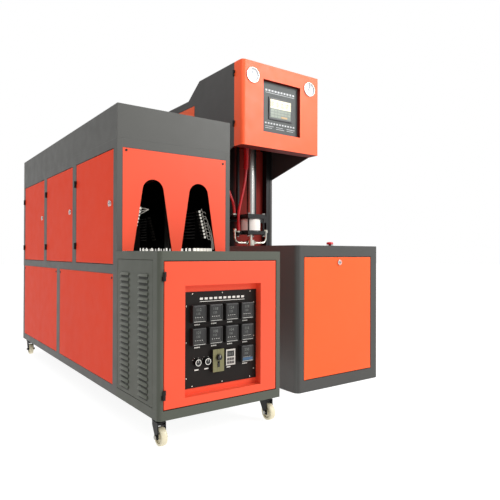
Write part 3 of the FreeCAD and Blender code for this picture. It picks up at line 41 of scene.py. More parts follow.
# ---- Room: floor, daylight and the operator's view ------------------------------------------------------
# The machine stands on a pale seamless studio floor under a bright, even sky, with one large soft light in
# front and to the right. The view is a standing operator's, low in front of the oven unit's corner.

def linear(colour):
    """Linear light of an sRGB hex colour, as a colour socket takes it."""
    parts = [int(colour[i:i + 2], 16) / 255 for i in (1, 3, 5)]
    return (*[p / 12.92 if p <= 0.04045 else ((p + 0.055) / 1.055) ** 2.4 for p in parts], 1.0)


def add(tree, kind, sockets=None, **settings):
    """One node with its settings. A socket takes a number, a colour or another node's output."""
    node = tree.nodes.new(kind)
    for name, value in settings.items():
        setattr(node, name, value)
    for name, value in (sockets or {}).items():
        if isinstance(value, bpy.types.NodeSocket):
            tree.links.new(value, node.inputs[name])
        else:
            node.inputs[name].default_value = value
    return node


def new_finish(name):
    """An empty finish: its tree, its shader and the place on the object that patterns read."""
    finish = bpy.data.materials.new(name)
    finish.use_nodes = True
    tree = finish.node_tree
    return finish, tree, tree.nodes["Principled BSDF"], add(tree, "ShaderNodeTexCoord").outputs["Object"]


def coat(piece, *finishes):
    """Give a piece its finishes in place of what it had."""
    piece.data.materials.clear()
    for finish in finishes:
        piece.data.materials.append(finish)
    return piece


scene = bpy.context.scene
scene.view_settings.view_transform = "Standard"
world = bpy.data.worlds.new("Studio")
scene.world = world
world.use_nodes = True
sky = world.node_tree.nodes["Background"]
sky.inputs["Color"].default_value = linear("#ffffff")
toward = add(world.node_tree, "ShaderNodeTexCoord").outputs["Generated"]
sideways = add(world.node_tree, "ShaderNodeSeparateXYZ", {"Vector": toward})
shade = add(world.node_tree, "ShaderNodeMapRange", {"Value": sideways.outputs["X"], "From Min": -0.9,
                                                    "From Max": -0.1, "To Min": 0.37, "To Max": 1.0})
world.node_tree.links.new(shade.outputs["Result"], sky.inputs["Strength"])

bpy.ops.mesh.primitive_plane_add(size=60)
floor = bpy.context.object
floor.name = "studio_floor"
paper, tree, shader, place = new_finish("seamless_paper")
grain = add(tree, "ShaderNodeTexNoise", {"Vector": place, "Scale": 40.0, "Detail": 4.0})
tone = add(tree, "ShaderNodeMixRGB", {"Fac": grain.outputs["Fac"], "Color1": linear("#8a8a89"),
                                      "Color2": linear("#90908f")})
tree.links.new(tone.outputs["Color"], shader.inputs["Base Color"])
shader.inputs["Roughness"].default_value = 0.9
shader.inputs["Specular IOR Level"].default_value = 0.1
shader.inputs["Emission Color"].default_value = linear("#ffffff")
shader.inputs["Emission Strength"].default_value = 0.9
coat(floor, paper)


def soft_light(name, at, aim, size, watts):
    """A square softbox that faces the point aimed at."""
    lamp = bpy.data.lights.new(name, "AREA")
    lamp.size, lamp.energy = size, watts
    item = bpy.data.objects.new(name, lamp)
    scene.collection.objects.link(item)
    item.location = at
    item.rotation_euler = (Vector(aim) - Vector(at)).to_track_quat("-Z", "Y").to_euler()
    return item


soft_light("front_softbox", (2.9, -5.0, 3.4), (0.0, -0.3, 1.3), 2.4, 160)
soft_light("head_softbox", (1.1, -2.2, 2.7), (0.10, -0.35, 1.8), 0.9, 34)
soft_light("side_softbox", (-1.1, -0.9, 2.5), (-0.32, -0.2, 1.75), 0.5, 5.8)

camera_data = bpy.data.cameras.new("Operator")
camera_data.sensor_width = 36.0
camera_data.lens = 36.08
camera = bpy.data.objects.new("Operator", camera_data)
scene.collection.objects.link(camera)
camera.location = (-2.1233, -2.9269, 0.7621)
camera.rotation_euler = (radians(90.37), -0.0032, radians(-35.9))
scene.camera = camera

# ---- Powder-coated sheet metal and frame ----------------------------------------------------------------
# Doors and panels are folded from 2 mm steel sheet and the frame is welded square tube, all sprayed with
# polyester powder and baked. It is semi-gloss, with a faint orange-peel skin and softly rounded edges.

def powder_coat(name, colour, deeper, sheen, edge=0.0022, shine=0.22, edge_highlight=0.35):
    """Baked powder: slow drift of tone, edges painted paler as a painted highlight, orange peel drawn at 4 mm
    so that it shows.
    """
    finish, tree, shader, place = new_finish(name)
    drift = add(tree, "ShaderNodeTexNoise", {"Vector": place, "Scale": 2.2, "Detail": 3.0, "Roughness": 0.55})
    tone = add(tree, "ShaderNodeMixRGB",
               {"Fac": drift.outputs["Fac"], "Color1": linear(colour), "Color2": linear(deeper)})
    soft = add(tree, "ShaderNodeBevel", {"Radius": edge}, samples=4)
    flat = add(tree, "ShaderNodeNewGeometry")
    turn = add(tree, "ShaderNodeVectorMath", {0: soft.outputs["Normal"], 1: flat.outputs["Normal"]},
               operation="DOT_PRODUCT")
    # Painted highlight: where the bevel's normal turns from the face's, the colour goes paler, up to
    # edge_highlight.
    rim = add(tree, "ShaderNodeMapRange", {"Value": turn.outputs["Value"], "From Min": 0.995, "From Max": 0.8,
                                           "To Min": 0.0, "To Max": edge_highlight})
    pale = tuple(min(1.0, c * 1.5 + 0.06) for c in linear(colour)[:3]) + (1.0,)
    highlighted = add(tree, "ShaderNodeMixRGB",
                 {"Fac": rim.outputs["Result"], "Color1": tone.outputs["Color"], "Color2": pale})
    speck = add(tree, "ShaderNodeTexNoise", {"Vector": place, "Scale": 900.0, "Detail": 1.0})
    dusty = add(tree, "ShaderNodeMapRange", {"Value": speck.outputs["Fac"], "From Min": 0.35,
                                             "From Max": 0.65, "To Min": 0.96, "To Max": 1.03})
    both = add(tree, "ShaderNodeVectorMath", {0: highlighted.outputs["Color"], "Scale": dusty.outputs["Result"]},
               operation="SCALE")
    tree.links.new(both.outputs["Vector"], shader.inputs["Base Color"])
    rub = add(tree, "ShaderNodeTexNoise", {"Vector": place, "Scale": 14.0, "Detail": 4.0})
    gloss = add(tree, "ShaderNodeMapRange", {"Value": rub.outputs["Fac"], "From Min": 0.3, "From Max": 0.7,
                                             "To Min": sheen - 0.04, "To Max": sheen + 0.05})
    tree.links.new(gloss.outputs["Result"], shader.inputs["Roughness"])
    shader.inputs["Specular IOR Level"].default_value = shine
    peel = add(tree, "ShaderNodeTexNoise", {"Vector": place, "Scale": 260.0, "Detail": 1.0})
    skin = add(tree, "ShaderNodeBump", {"Height": peel.outputs["Fac"], "Normal": soft.outputs["Normal"],
                                        "Strength": 0.12, "Distance": 0.0004})
    tree.links.new(skin.outputs["Normal"], shader.inputs["Normal"])
    return finish


def repaint(piece, finish, wanted):
    """Give a further finish to the faces that pass a test of their middle and normal."""
    piece.data.materials.append(finish)
    last = len(piece.data.materials) - 1
    for face in piece.data.polygons:
        if wanted(face.center, face.normal):
            face.material_index = last


orange_powder = powder_coat("orange_powder_coat", "#ef5639", "#e94e31", 0.42)
warm_powder = powder_coat("warm_orange_powder_coat", "#f15f2b", "#eb5725", 0.42)
# Painted shade: a dark red for the head door's recess and underside.
shadow_red = powder_coat("painted_shade_red_sheet", "#6e1a12", "#5e140d", 0.6, 0.001, 0.1, 0.0)
# Painted shade: a darker orange for the oven's outer side, and black for the oven's inner sheets.
shaded_side_orange = powder_coat("shaded_orange_powder_coat", "#ea4626", "#e23e20", 0.5, 0.0022, 0.06)
painted_shade_black = powder_coat("painted_shade_black_sheet", "#0c0b0a", "#070606", 0.7, 0.001, 0.05, 0.0)
grey_powder = powder_coat("grey_powder_coat", "#565653", "#50504d", 0.45)
cabinet_grey = powder_coat("olive_grey_powder_coat", "#55584f", "#4f5249", 0.45)
shaded_grey_powder = powder_coat("painted_shade_grey_powder_coat", "#3f3e3d", "#3a3938", 0.45)
black_powder = powder_coat("black_powder_coat", "#121212", "#0c0c0c", 0.45, 0.001, 0.3, 0.2)
plate_black = powder_coat("black_anodised_plate", "#17110d", "#120d0a", 0.5, 0.001, 0.2, 0.2)

oven_doors = ("oven_door_near", "oven_door_mid", "oven_door_far")
for name in (*oven_doors, "fixed_panels", "arch_panel", "control_door"):
    coat(nodes[name], orange_powder)
for name in ("access_door", "body_panels"):
    coat(nodes[name], warm_powder)
coat(nodes["head_door"], powder_coat("glossy_orange_powder_coat", "#ef5e2f", "#e95429", 0.46, 0.0022, 0.31))
for name in ("oven_frame", "oven_hood"):
    coat(nodes[name], grey_powder)
coat(nodes["front_cover"], powder_coat("cover_grey_powder_coat", "#494947", "#444442", 0.45))
for name in ("cabinet_shell", "louver_panel"):
    coat(nodes[name], cabinet_grey)
# Painted shade: the upper shell's grey is darker than the oven's grey.
coat(nodes["upper_shell"], shaded_grey_powder)
coat(nodes["control_plate"], plate_black)
for name in ("blower_base", "column_frame", "front_fork_left", "front_fork_right", "rear_forks",
             "panel_screws", "chain_motor", "clamp_cylinder", "air_receiver", "seal_flanges"):
    coat(nodes[name], black_powder)

# The oven's sheets are painted black inside, where they face the lamps, as painted shade, and its outer side
# is painted a darker orange as painted shade.
OVEN = Vector((-1.2745, -1.1545, 0.0))
outer_skin, arch_back, oven_back = 0.0015, 0.4405, 2.35
for name in oven_doors:
    repaint(nodes[name], shaded_side_orange, lambda at, way: at.x - OVEN.x < outer_skin and way.x < -0.9)
    repaint(nodes[name], painted_shade_black, lambda at, way: at.x - OVEN.x > outer_skin and abs(way.x) > 0.5)
repaint(nodes["fixed_panels"], shaded_side_orange, lambda at, way: at.x - OVEN.x < outer_skin and way.x < -0.9)
repaint(nodes["fixed_panels"], painted_shade_black,
        lambda at, way: (at.x - OVEN.x > 0.607 and way.x < -0.5)
        or (outer_skin < at.x - OVEN.x < 0.011 and way.x > 0.5)
        or (at.y - OVEN.y > oven_back and way.y < -0.5))
repaint(nodes["arch_panel"], painted_shade_black, lambda at, way: at.y - OVEN.y > arch_back)
for name in ("oven_frame", "oven_hood"):
    repaint(nodes[name], painted_shade_black,
            lambda at, way: 0.05 < at.x - OVEN.x < 0.57 and 0.72 < at.z < 1.4505
            and arch_back < at.y - OVEN.y < oven_back + 0.01)

# The orange wall behind the nozzle is painted dark red as painted shade, going to near black towards the
# oven's side.
# The head door's recess and underside are painted dark red and the head's underside black, all as painted
# shade.
painted_shade_wall, tree, shader, place = new_finish("painted_shade_wall_red")
across = add(tree, "ShaderNodeSeparateXYZ", {"Vector": place})
blotch = add(tree, "ShaderNodeTexNoise", {"Vector": place, "Scale": 9.0, "Detail": 4.0})
wander = add(tree, "ShaderNodeMath", {0: blotch.outputs["Fac"], 1: 0.05, 2: across.outputs["X"]},
             operation="MULTIPLY_ADD")
fall = add(tree, "ShaderNodeMapRange", {"Value": wander.outputs["Value"], "From Min": 0.02, "From Max": 0.07})
tone = add(tree, "ShaderNodeMixRGB", {"Fac": fall.outputs["Result"], "Color1": linear("#150807"),
                                      "Color2": linear("#7a221b")})
tree.links.new(tone.outputs["Color"], shader.inputs["Base Color"])
shader.inputs["Roughness"].default_value = 0.6
shader.inputs["Specular IOR Level"].default_value = 0.1
repaint(nodes["body_panels"], painted_shade_wall, lambda at, way: 0.2 < at.y < 0.23 and at.x < 0.27 and at.z > 0.8)
# Painted shade: the head door's recess walls and its underside are painted dark red.
repaint(nodes["head_door"], shadow_red,
        lambda at, way: abs(at.x) < 0.17 and 1.55 < at.z < 1.90 and at.y > -0.3515 and way.y > -0.5)
repaint(nodes["head_door"], shadow_red, lambda at, way: at.z < 1.4500 and way.z < -0.7)
# Painted shade: the head's underside is painted black.
repaint(nodes["upper_shell"], black_powder, lambda at, way: at.z > 1.3 and way.z < -0.5)
# Painted light: the cover's side and the head's side, turned from the light, are painted lighter greys than
# their fronts.
lit_cover_side = powder_coat("cover_side_grey", "#565654", "#50504e", 0.45)
repaint(nodes["front_cover"], lit_cover_side, lambda at, way: way.x < -0.7)
lit_head_side = powder_coat("head_side_grey", "#4a4948", "#444342", 0.45)
repaint(nodes["upper_shell"], lit_head_side, lambda at, way: at.z > 1.3 and way.x < -0.9)

# ---- Bright metal ---------------------------------------------------------------------------------------
# The locks are chromed zinc castings, the rods, cylinders and wheels of the drive are ground steel, and the
# nozzle with its bent pipes is nickelled brass.

def bright_metal(name, colour, roughness, grain):
    """Bare metal with fine machining marks, drawn wider than the real ones so that they show."""
    finish, tree, shader, place = new_finish(name)
    marks = add(tree, "ShaderNodeTexNoise", {"Vector": place, "Scale": grain, "Detail": 3.0})
    tone = add(tree, "ShaderNodeMapRange", {"Value": marks.outputs["Fac"], "From Min": 0.3, "From Max": 0.7,
                                            "To Min": roughness - 0.05, "To Max": roughness + 0.08})
    tree.links.new(tone.outputs["Result"], shader.inputs["Roughness"])
    shader.inputs["Base Color"].default_value = linear(colour)
    shader.inputs["Metallic"].default_value = 1.0
    soft = add(tree, "ShaderNodeBevel", {"Radius": 0.0008}, samples=4)
    bump = add(tree, "ShaderNodeBump", {"Height": marks.outputs["Fac"], "Normal": soft.outputs["Normal"],
                                        "Strength": 0.08, "Distance": 0.0002})
    tree.links.new(bump.outputs["Normal"], shader.inputs["Normal"])
    return finish


chrome = bright_metal("chromed_zinc", "#dcdcda", 0.12, 300.0)
ground_steel = bright_metal("ground_steel", "#a9a8a4", 0.28, 400.0)
nickel = bright_metal("nickelled_brass", "#cfccbf", 0.24, 500.0)
for name in ("door_lock_near", "door_lock_mid", "door_lock_far", "access_lock", "stretch_rod"):
    coat(nodes[name], chrome)
for name in ("stretch_cylinder", "clamp_frame", "moving_platen", "drive_wheel", "idler_wheel"):
    coat(nodes[name], ground_steel)
coat(nodes["nozzle_head"], nickel)

# ---- Plastics -------------------------------------------------------------------------------------------
# Cases and knobs are moulded, the caster wheels are cast nylon, the sealing cylinder is turned acetal and the
# hoses are polyurethane. All are smooth with a faint grain and a soft shine.

def moulded(name, colour, roughness, grain=600.0):
    """Injection-moulded plastic, its fine grain drawn coarser than the real one so that it shows."""
    finish, tree, shader, place = new_finish(name)
    skin = add(tree, "ShaderNodeTexNoise", {"Vector": place, "Scale": grain, "Detail": 2.0})
    lighter = tuple(min(1.0, c * 1.08) for c in linear(colour)[:3]) + (1.0,)
    tone = add(tree, "ShaderNodeMixRGB", {"Fac": skin.outputs["Fac"], "Color1": linear(colour),
                                          "Color2": lighter})
    tree.links.new(tone.outputs["Color"], shader.inputs["Base Color"])
    shader.inputs["Roughness"].default_value = roughness
    bump = add(tree, "ShaderNodeBump", {"Height": skin.outputs["Fac"], "Strength": 0.1, "Distance": 0.0003})
    tree.links.new(bump.outputs["Normal"], shader.inputs["Normal"])
    return finish


white_acetal = moulded("white_acetal", "#e9e6df", 0.35)
ivory_nylon = moulded("ivory_nylon", "#d8cfb2", 0.4)
meter_grey = moulded("meter_abs", "#1c1b1a", 0.5)
knob_black = moulded("knob_phenolic", "#0c0c0d", 0.35)
stop_red = moulded("stop_button_abs", "#c4061a", 0.3)
hose_red = moulded("polyurethane_hose", "#b0121a", 0.3)
coat(nodes["seal_cylinder"], white_acetal)
for name in ("front_wheel_left", "front_wheel_right", "rear_wheel_left", "rear_wheel_right"):
    coat(nodes[name], ivory_nylon)
for name in ("panel_instruments", "speed_switch"):
    coat(nodes[name], meter_grey)
for name in ("speed_knob", "selector_knob_left", "selector_knob_right", "gauge_needle_left",
             "gauge_needle_right"):
    coat(nodes[name], knob_black)
coat(nodes["estop_button"], stop_red)

# ---- Louvers of the control cabinet -----------------------------------------------------------------------
# Two columns of louvers are pressed outward from the cabinet's side panel, each a sloped hood of the panel's
# own steel. The hoods are painted a lighter grey than the panel as a painted highlight, and a dark strip
# under each is painted shadow.

def edit(piece):
    """Open one piece alone in edit mode with nothing in it selected."""
    bpy.ops.object.select_all(action="DESELECT")
    piece.select_set(True)
    bpy.context.view_layer.objects.active = piece
    bpy.ops.object.mode_set(mode="EDIT")
    bpy.ops.mesh.select_mode(type="FACE")
    bpy.ops.mesh.select_all(action="DESELECT")


def pick(piece, wanted):
    """Select in edit mode the faces that pass a test of their middle and normal."""
    bpy.ops.object.mode_set(mode="OBJECT")
    for face in piece.data.polygons:
        face.select = wanted(face.center, face.normal)
    bpy.ops.object.mode_set(mode="EDIT")


def close_edit(piece):
    """Leave edit mode with the faces pointing outwards."""
    bpy.ops.mesh.select_all(action="SELECT")
    bpy.ops.mesh.normals_make_consistent(inside=False)
    bpy.ops.object.mode_set(mode="OBJECT")
    return piece


def settle(piece, at=(0, 0, 0), turn=(0, 0, 0)):
    """Put a piece at its place and leave that place in its mesh."""
    bpy.ops.object.select_all(action="DESELECT")
    piece.select_set(True)
    bpy.context.view_layer.objects.active = piece
    piece.location, piece.rotation_euler = at, turn
    bpy.ops.object.transform_apply(location=True, rotation=True, scale=True)
    return piece


def repeat(master, shifts):
    """Copies of a piece at the shifts given, each with its own mesh. The first shift is the piece's own."""
    made = [master]
    for shift in shifts[1:]:
        twin = master.copy()
        twin.data = master.data.copy()
        scene.collection.objects.link(twin)
        made.append(settle(twin, shift))
    settle(master, shifts[0])
    return made


def join(name, parts):
    """One piece from several, named."""
    bpy.ops.object.select_all(action="DESELECT")
    for part in parts:
        part.select_set(True)
    bpy.context.view_layer.objects.active = parts[0]
    bpy.ops.object.join()
    parts[0].name = name
    return parts[0]


hood_out, hood_long, hood_tall = 0.0075, 0.094, 0.0130
bpy.ops.mesh.primitive_cube_add(size=1, location=(-hood_out / 2, 0, 0))
louver = bpy.context.object
louver.scale = (hood_out, hood_long, hood_tall)
bpy.ops.object.transform_apply(location=True, rotation=True, scale=True)
edit(louver)
pick(louver, lambda at, way: way.z > 0.9)
bpy.ops.transform.resize(value=(0.12, 0.94, 1), center_override=(0, 0, hood_tall / 2))
bpy.ops.mesh.select_mode(type="EDGE")
bpy.ops.mesh.select_all(action="SELECT")
bpy.ops.mesh.bevel(offset=0.0014, segments=3, affect="EDGES")
close_edit(louver)
bpy.ops.object.shade_smooth_by_angle(angle=radians(40))
# Painted shadow: a dark strip on the panel under each hood.
shadow_out, shadow_long, shadow_tall = 0.0018, 0.088, 0.0090
bpy.ops.mesh.primitive_cube_add(size=1, location=(-shadow_out / 2, 0, -0.0110))
shadow_strip = bpy.context.object
shadow_strip.scale = (shadow_out, shadow_long, shadow_tall)
bpy.ops.object.transform_apply(location=True, rotation=True, scale=True)
edit(shadow_strip)
pick(shadow_strip, lambda at, way: way.z < -0.9)
bpy.ops.transform.resize(value=(0.2, 0.92, 1), center_override=(0, 0, -0.0110 - shadow_tall / 2))
bpy.ops.mesh.select_all(action="SELECT")
bpy.ops.mesh.bevel(offset=0.0006, segments=2, affect="EDGES")
close_edit(shadow_strip)
slots = [OVEN + Vector((-0.0001, 0.097 + column, 0.182 + 0.0245 * row))
         for row in range(21) for column in (0.045, 0.240)]
# Painted highlight on the hoods' lighter grey, painted shadow on the dark strips.
louver_grey_painted_highlight = powder_coat("louver_grey_painted_highlight", "#6a6d63", "#63665c", 0.4)
louver_shadow = powder_coat("louver_shadow", "#262822", "#20221d", 0.6)
louvers = coat(join("pressed_louvers", repeat(louver, slots)), louver_grey_painted_highlight)
shadow_strips = coat(join("louver_painted_shadows", repeat(shadow_strip, slots)), louver_shadow)
for piece in (louvers, shadow_strips):
    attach(piece, "machine")
# Painted shade: the top and bottom faces of the louver panel's slots are painted black.
repaint(nodes["louver_panel"], painted_shade_black, lambda at, way: abs(way.z) > 0.9 and 0.17 < at.z < 0.72)

# ---- Plug-in controllers ----------------------------------------------------------------------------------
# Nine temperature controllers stand in the black plate, each a moulded case with a bezel, a smoked display
# with two rows of figures, indicator dots, four soft keys and a pale line under them.

def block(name, low, size, edge=0.0004):
    """A small moulded block from its low corner, with its edges rounded."""
    middle = [a + b / 2 for a, b in zip(low, size)]
    bpy.ops.mesh.primitive_cube_add(size=1, location=middle)
    item = bpy.context.object
    item.name = name
    item.scale = size
    bpy.ops.object.transform_apply(location=True, rotation=True, scale=True)
    edit(item)
    bpy.ops.mesh.select_all(action="SELECT")
    bpy.ops.mesh.bevel(offset=edge, segments=2, affect="EDGES")
    return close_edit(item)


to_front = (radians(90), 0, 0)


def figures(text, at, tall, thick=0.0003):
    """Figures standing on a face that looks to the front, their low left corner at the place given."""
    bpy.ops.object.text_add()
    item = bpy.context.object
    item.data.body = text
    item.data.size = tall * 1.4
    item.data.extrude = thick
    item.data.resolution_u = 3
    bpy.ops.object.convert(target="MESH")
    return settle(item, at, to_front)


display_black = moulded("smoked_display", "#1a1918", 0.3)
figure_grey = moulded("liquid_crystal_grey", "#6b6d69", 0.5)
print_white = moulded("screen_print_white", "#d9d7cf", 0.6)
plate_face = OVEN.y + 0.033
pitch_x, pitch_z = 0.0805, 0.094
corners = [(0.1575 + pitch_x * column, 0.288 + pitch_z * row) for row in (2, 1) for column in range(4)]
corners.append((0.1575 + pitch_x * 3, 0.288))
readings = ("112 115", "118 120", "124 125", "119 120", "121 120", "108 110", "104 105", "116 115", "230 220")
front = plate_face - 0.020
bezel = block("controller_bezel", (0.0008, -0.0026, 0.0008), (0.0624, 0.0030, 0.0704), 0.0012)
edit(bezel)
pick(bezel, lambda at, way: way.y < -0.9 and abs(at.x - 0.032) < 0.02)
bpy.ops.mesh.inset(thickness=0.0035)
bpy.ops.mesh.extrude_region_move(TRANSFORM_OT_translate={"value": (0, 0.0016, 0)})
close_edit(bezel)
window = block("controller_window", (0.0075, -0.0016, 0.0270), (0.0490, 0.0012, 0.0375), 0.0003)
keys = [block("key", (0.0085 + 0.0122 * i, -0.0022, 0.0105), (0.0095, 0.0016, 0.0058), 0.0006)
        for i in range(4)]
under_line = block("line", (0.0050, -0.0030, 0.0032), (0.0540, 0.0006, 0.0026), 0.0002)
dots = [block("dot", (0.0110 + 0.0105 * i, -0.0020, 0.0215), (0.0042, 0.0008, 0.0018), 0.0003)
        for i in range(4)]
places = [Vector((OVEN.x + x, front, z)) for x, z in corners]
bezels = coat(join("controller_bezels", repeat(bezel, places)), meter_grey)
windows = coat(join("controller_windows", repeat(window, places)), display_black)
keys = repeat(join("key_row", keys), places)
keys = coat(join("controller_keys", keys), moulded("soft_keys", "#33322f", 0.55))
lines = coat(join("controller_lines", repeat(join("line_row", [under_line, *dots]), places)), print_white)
rows = []
for place_at, pair in zip(places, readings):
    upper, lower = pair.split()
    rows.append(figures(upper, place_at + Vector((0.0150, -0.0017, 0.0485)), 0.0120))
    rows.append(figures(lower, place_at + Vector((0.0150, -0.0017, 0.0335)), 0.0095))
readouts = coat(join("controller_figures", rows), figure_grey)
blue = block("blue_key_film", (OVEN.x + corners[8][0] + 0.006, front - 0.0032, corners[8][1] + 0.0075),
             (0.052, 0.0008, 0.0125), 0.0003)
coat(blue, moulded("blue_key_film", "#31506e", 0.45))
for piece in (bezels, windows, keys, lines, readouts, blue):
    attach(piece, "control_door")

# ---- Plate legends and screws -----------------------------------------------------------------------------
# The anodised plate is held by twelve small pan-head screws round its edge. A plain printed bar stands under
# each instrument and a dashed heading bar over them, all left without words.
legends = []


def mark(x, z, wide, tall, edge=0.0002):
    """A printed bar on the plate, from its low left corner."""
    legends.append(block("mark", (OVEN.x + x, plate_face - 0.0004, z), (wide, 0.0006, tall), edge))


for x, z in corners:
    for shift, wide in ((0, 0.007), (0.0085, 0.010), (0.020, 0.006)):
        mark(x + 0.019 + shift, z - 0.0125, wide, 0.0052)
for i in range(10):
    mark(0.202 + 0.0232 * i, 0.568, 0.0150, 0.0090, 0.0003)
mark(0.202, 0.5595, 0.226, 0.0022)
for x, z in ((0.178, 0.277), (0.225, 0.277), (0.336, 0.270)):
    mark(x, z, 0.019, 0.0050)
legends = coat(join("plate_legends", legends), print_white)


def turned(name, steps, sides=32):
    """A turned piece standing on its axis, from its steps given as (radius, height), closed at both ends."""
    radius, low = steps[0]
    bpy.ops.mesh.primitive_circle_add(vertices=sides, radius=radius, location=(0, 0, low), fill_type="NGON")
    item = bpy.context.object
    item.name = name
    bpy.ops.object.transform_apply(location=True, rotation=True, scale=True)
    edit(item)
    bpy.ops.mesh.select_all(action="SELECT")
    for wide, high in steps[1:]:
        bpy.ops.mesh.extrude_region_move(TRANSFORM_OT_translate={"value": (0, 0, high - low)})
        scale = wide / radius
        bpy.ops.transform.resize(value=(scale, scale, 1), center_override=(0, 0, high))
        radius, low = wide, high
    return close_edit(item)


screw = turned("plate_screw", [(0.0030, 0.0), (0.0030, 0.0008), (0.0026, 0.0016), (0.0016, 0.0021),
                               (0.0009, 0.0022), (0.0009, 0.0014)], 16)
screw_places = [Vector((OVEN.x + x, plate_face, z)) for x in (0.1385, 0.4785) for z in (0.545, 0.396, 0.250)]
screw_places += [Vector((OVEN.x + x, plate_face, z)) for z in (0.594, 0.216) for x in (0.166, 0.312, 0.458)]
settle(screw, (0, 0, 0), to_front)
plate_screws = coat(join("plate_screws", repeat(screw, screw_places)), nickel)
for piece in (legends, plate_screws):
    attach(piece, "control_door")

# ---- Speed controller, keypad and selector scales ---------------------------------------------------------
# The speed controller has an olive front plate, a round scale under its knob and a slot for its switch. The
# keypad is a pale moulding with a dark display and six keys. White marks are printed round the selectors,
# which carry a white ring and a pointer.

def ring(name, inner, outer, thick, sides=48):
    """A flat ring standing on its axis."""
    bpy.ops.mesh.primitive_cylinder_add(vertices=sides, radius=outer, depth=thick, location=(0, 0, thick / 2))
    item = bpy.context.object
    item.name = name
    bpy.ops.object.transform_apply(location=True, rotation=True, scale=True)
    edit(item)
    pick(item, lambda at, way: abs(way.z) > 0.9)
    bpy.ops.mesh.inset(thickness=outer - inner)
    bpy.ops.mesh.bridge_edge_loops()
    return close_edit(item)


olive = moulded("olive_front_plate", "#6f6b45", 0.45)
speed_x, speed_z, speed_front = OVEN.x + 0.257, 0.263, plate_face - 0.0172
fields = ((0, 0, 0.0220, 0.095), (0.033, 0, 0.0220, 0.095), (0.0205, 0, 0.014, 0.0195),
          (0.0205, 0.0445, 0.014, 0.011), (0.0205, 0.067, 0.014, 0.028))
fields = [block("field", (speed_x + x, speed_front, speed_z + z), (wide, 0.0014, tall), 0.0004)
          for x, z, wide, tall in fields]
speed_plate = coat(join("speed_front_plate", fields), olive)
dial_at = (speed_x + 0.0275, speed_front, speed_z + 0.061)
ticks = [settle(ring("speed_scale", 0.0135, 0.0150, 0.0004), dial_at, to_front)]
for i in range(11):
    tick = block("tick", (-0.0003, -0.0002, 0.0158), (0.0006, 0.0004, 0.0026), 0.0001)
    ticks.append(settle(tick, dial_at, (0, radians(-140 + 28 * i), 0)))
speed_scale = coat(join("speed_scale", ticks), moulded("scale_print_dark", "#2a2815", 0.5))

pale_case = moulded("keypad_case", "#b9b3ab", 0.45)
key_x, key_z, key_front = OVEN.x + 0.324, 0.283, plate_face - 0.014
repaint(nodes["panel_instruments"], pale_case,
        lambda at, way: 0.3235 < at.x - OVEN.x < 0.3715 and at.z < 0.3520
        and way.y < -0.9 and at.y < plate_face + 0.0005)
key_glass = block("keypad_display", (key_x + 0.006, key_front - 0.001, key_z + 0.037),
                  (0.035, 0.0012, 0.024), 0.0003)
coat(key_glass, display_black)
key_pads = [block("pad", (key_x + 0.0055 + 0.0125 * i, key_front - 0.0016, key_z + 0.006 + 0.0145 * j),
                  (0.0105, 0.002, 0.011), 0.0009) for i in range(3) for j in range(2)]
key_pads = coat(join("keypad_keys", key_pads), moulded("keypad_rubber", "#4b4644", 0.6))
key_figures = figures("50.0", (key_x + 0.0095, key_front - 0.0012, key_z + 0.0435), 0.0105)
key_figures.name = "keypad_figures"
coat(key_figures, figure_grey)

marks = []
for x in (0.187, 0.233):
    for angle in (-60, -30, 30, 60):
        tick = block("tick", (-0.0006, -0.0005, 0.0185), (0.0012, 0.0005, 0.003), 0.0001)
        marks.append(settle(tick, (OVEN.x + x, plate_face, 0.312), (0, radians(angle), 0)))
selector_scale = coat(join("selector_scale", marks), print_white)
for piece in (speed_plate, speed_scale, key_glass, key_pads, key_figures):
    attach(piece, "control_door")
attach(selector_scale, "control_door")
for body, x, z, tall, out in (("selector_left", 0.187, 0.312, 0.0135, 0.0173),
                              ("selector_right", 0.233, 0.312, 0.0135, 0.0173),
                              ("speed_knob", 0.2845, 0.324, 0.0100, 0.0293)):
    low = (OVEN.x + x - 0.0007, plate_face - out - 0.0004, z + 0.001)
    pointer = coat(block(body + "_pointer", low, (0.0014, 0.0012, tall), 0.0002), print_white)
    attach(pointer, body)
    if body != "speed_knob":
        band = ring(body + "_ring", 0.0112, 0.0136, 0.0008)
        settle(band, (OVEN.x + x, plate_face - out + 0.0002, z), to_front)
        coat(band, print_white)
        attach(band, body)

# ---- Cam locks --------------------------------------------------------------------------------------------
# Each door's quarter-turn lock is a chromed die casting with a dished face and a double-bit key socket. The
# three oven doors have theirs on the side, and the access door has its own in front, under the cover.
to_left = (radians(90), 0, radians(-90))
door_pitch = 0.63267
for body, at, turn in (("lock_near", OVEN + Vector((-0.0053, 0.523, 0.994)), to_left),
                       ("lock_mid", OVEN + Vector((-0.0053, 0.523 + door_pitch, 0.994)), to_left),
                       ("lock_far", OVEN + Vector((-0.0053, 0.523 + 2 * door_pitch, 0.994)), to_left),
                       ("access_lock", Vector((0.0, -0.8818, 0.711)), to_front)):
    washer = settle(ring(body + "_washer", 0.0118, 0.0150, 0.0012), at, turn)
    barrel = settle(ring(body + "_barrel", 0.0050, 0.0088, 0.0016), at, turn)
    shell = coat(join(body + "_face", [washer, barrel]), chrome)
    # Painted shade: the key socket is a thin black disc in the barrel, with black bits and pin, standing for
    # the dark hole.
    socket = settle(turned(body + "_socket", [(0.0050, 0.0002), (0.0050, 0.0006)], 24), at, turn)
    pin = settle(turned(body + "_pin", [(0.0018, 0.0), (0.0018, 0.0014)], 16), at, turn)
    bits = block(body + "_bits", (-0.0012, -0.0070, 0.0003), (0.0024, 0.0140, 0.0005), 0.0001)
    settle(bits, at, turn)
    key_hole = coat(join(body + "_key_socket", [socket, bits, pin]), black_powder)
    for piece in (shell, key_hole):
        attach(piece, body)

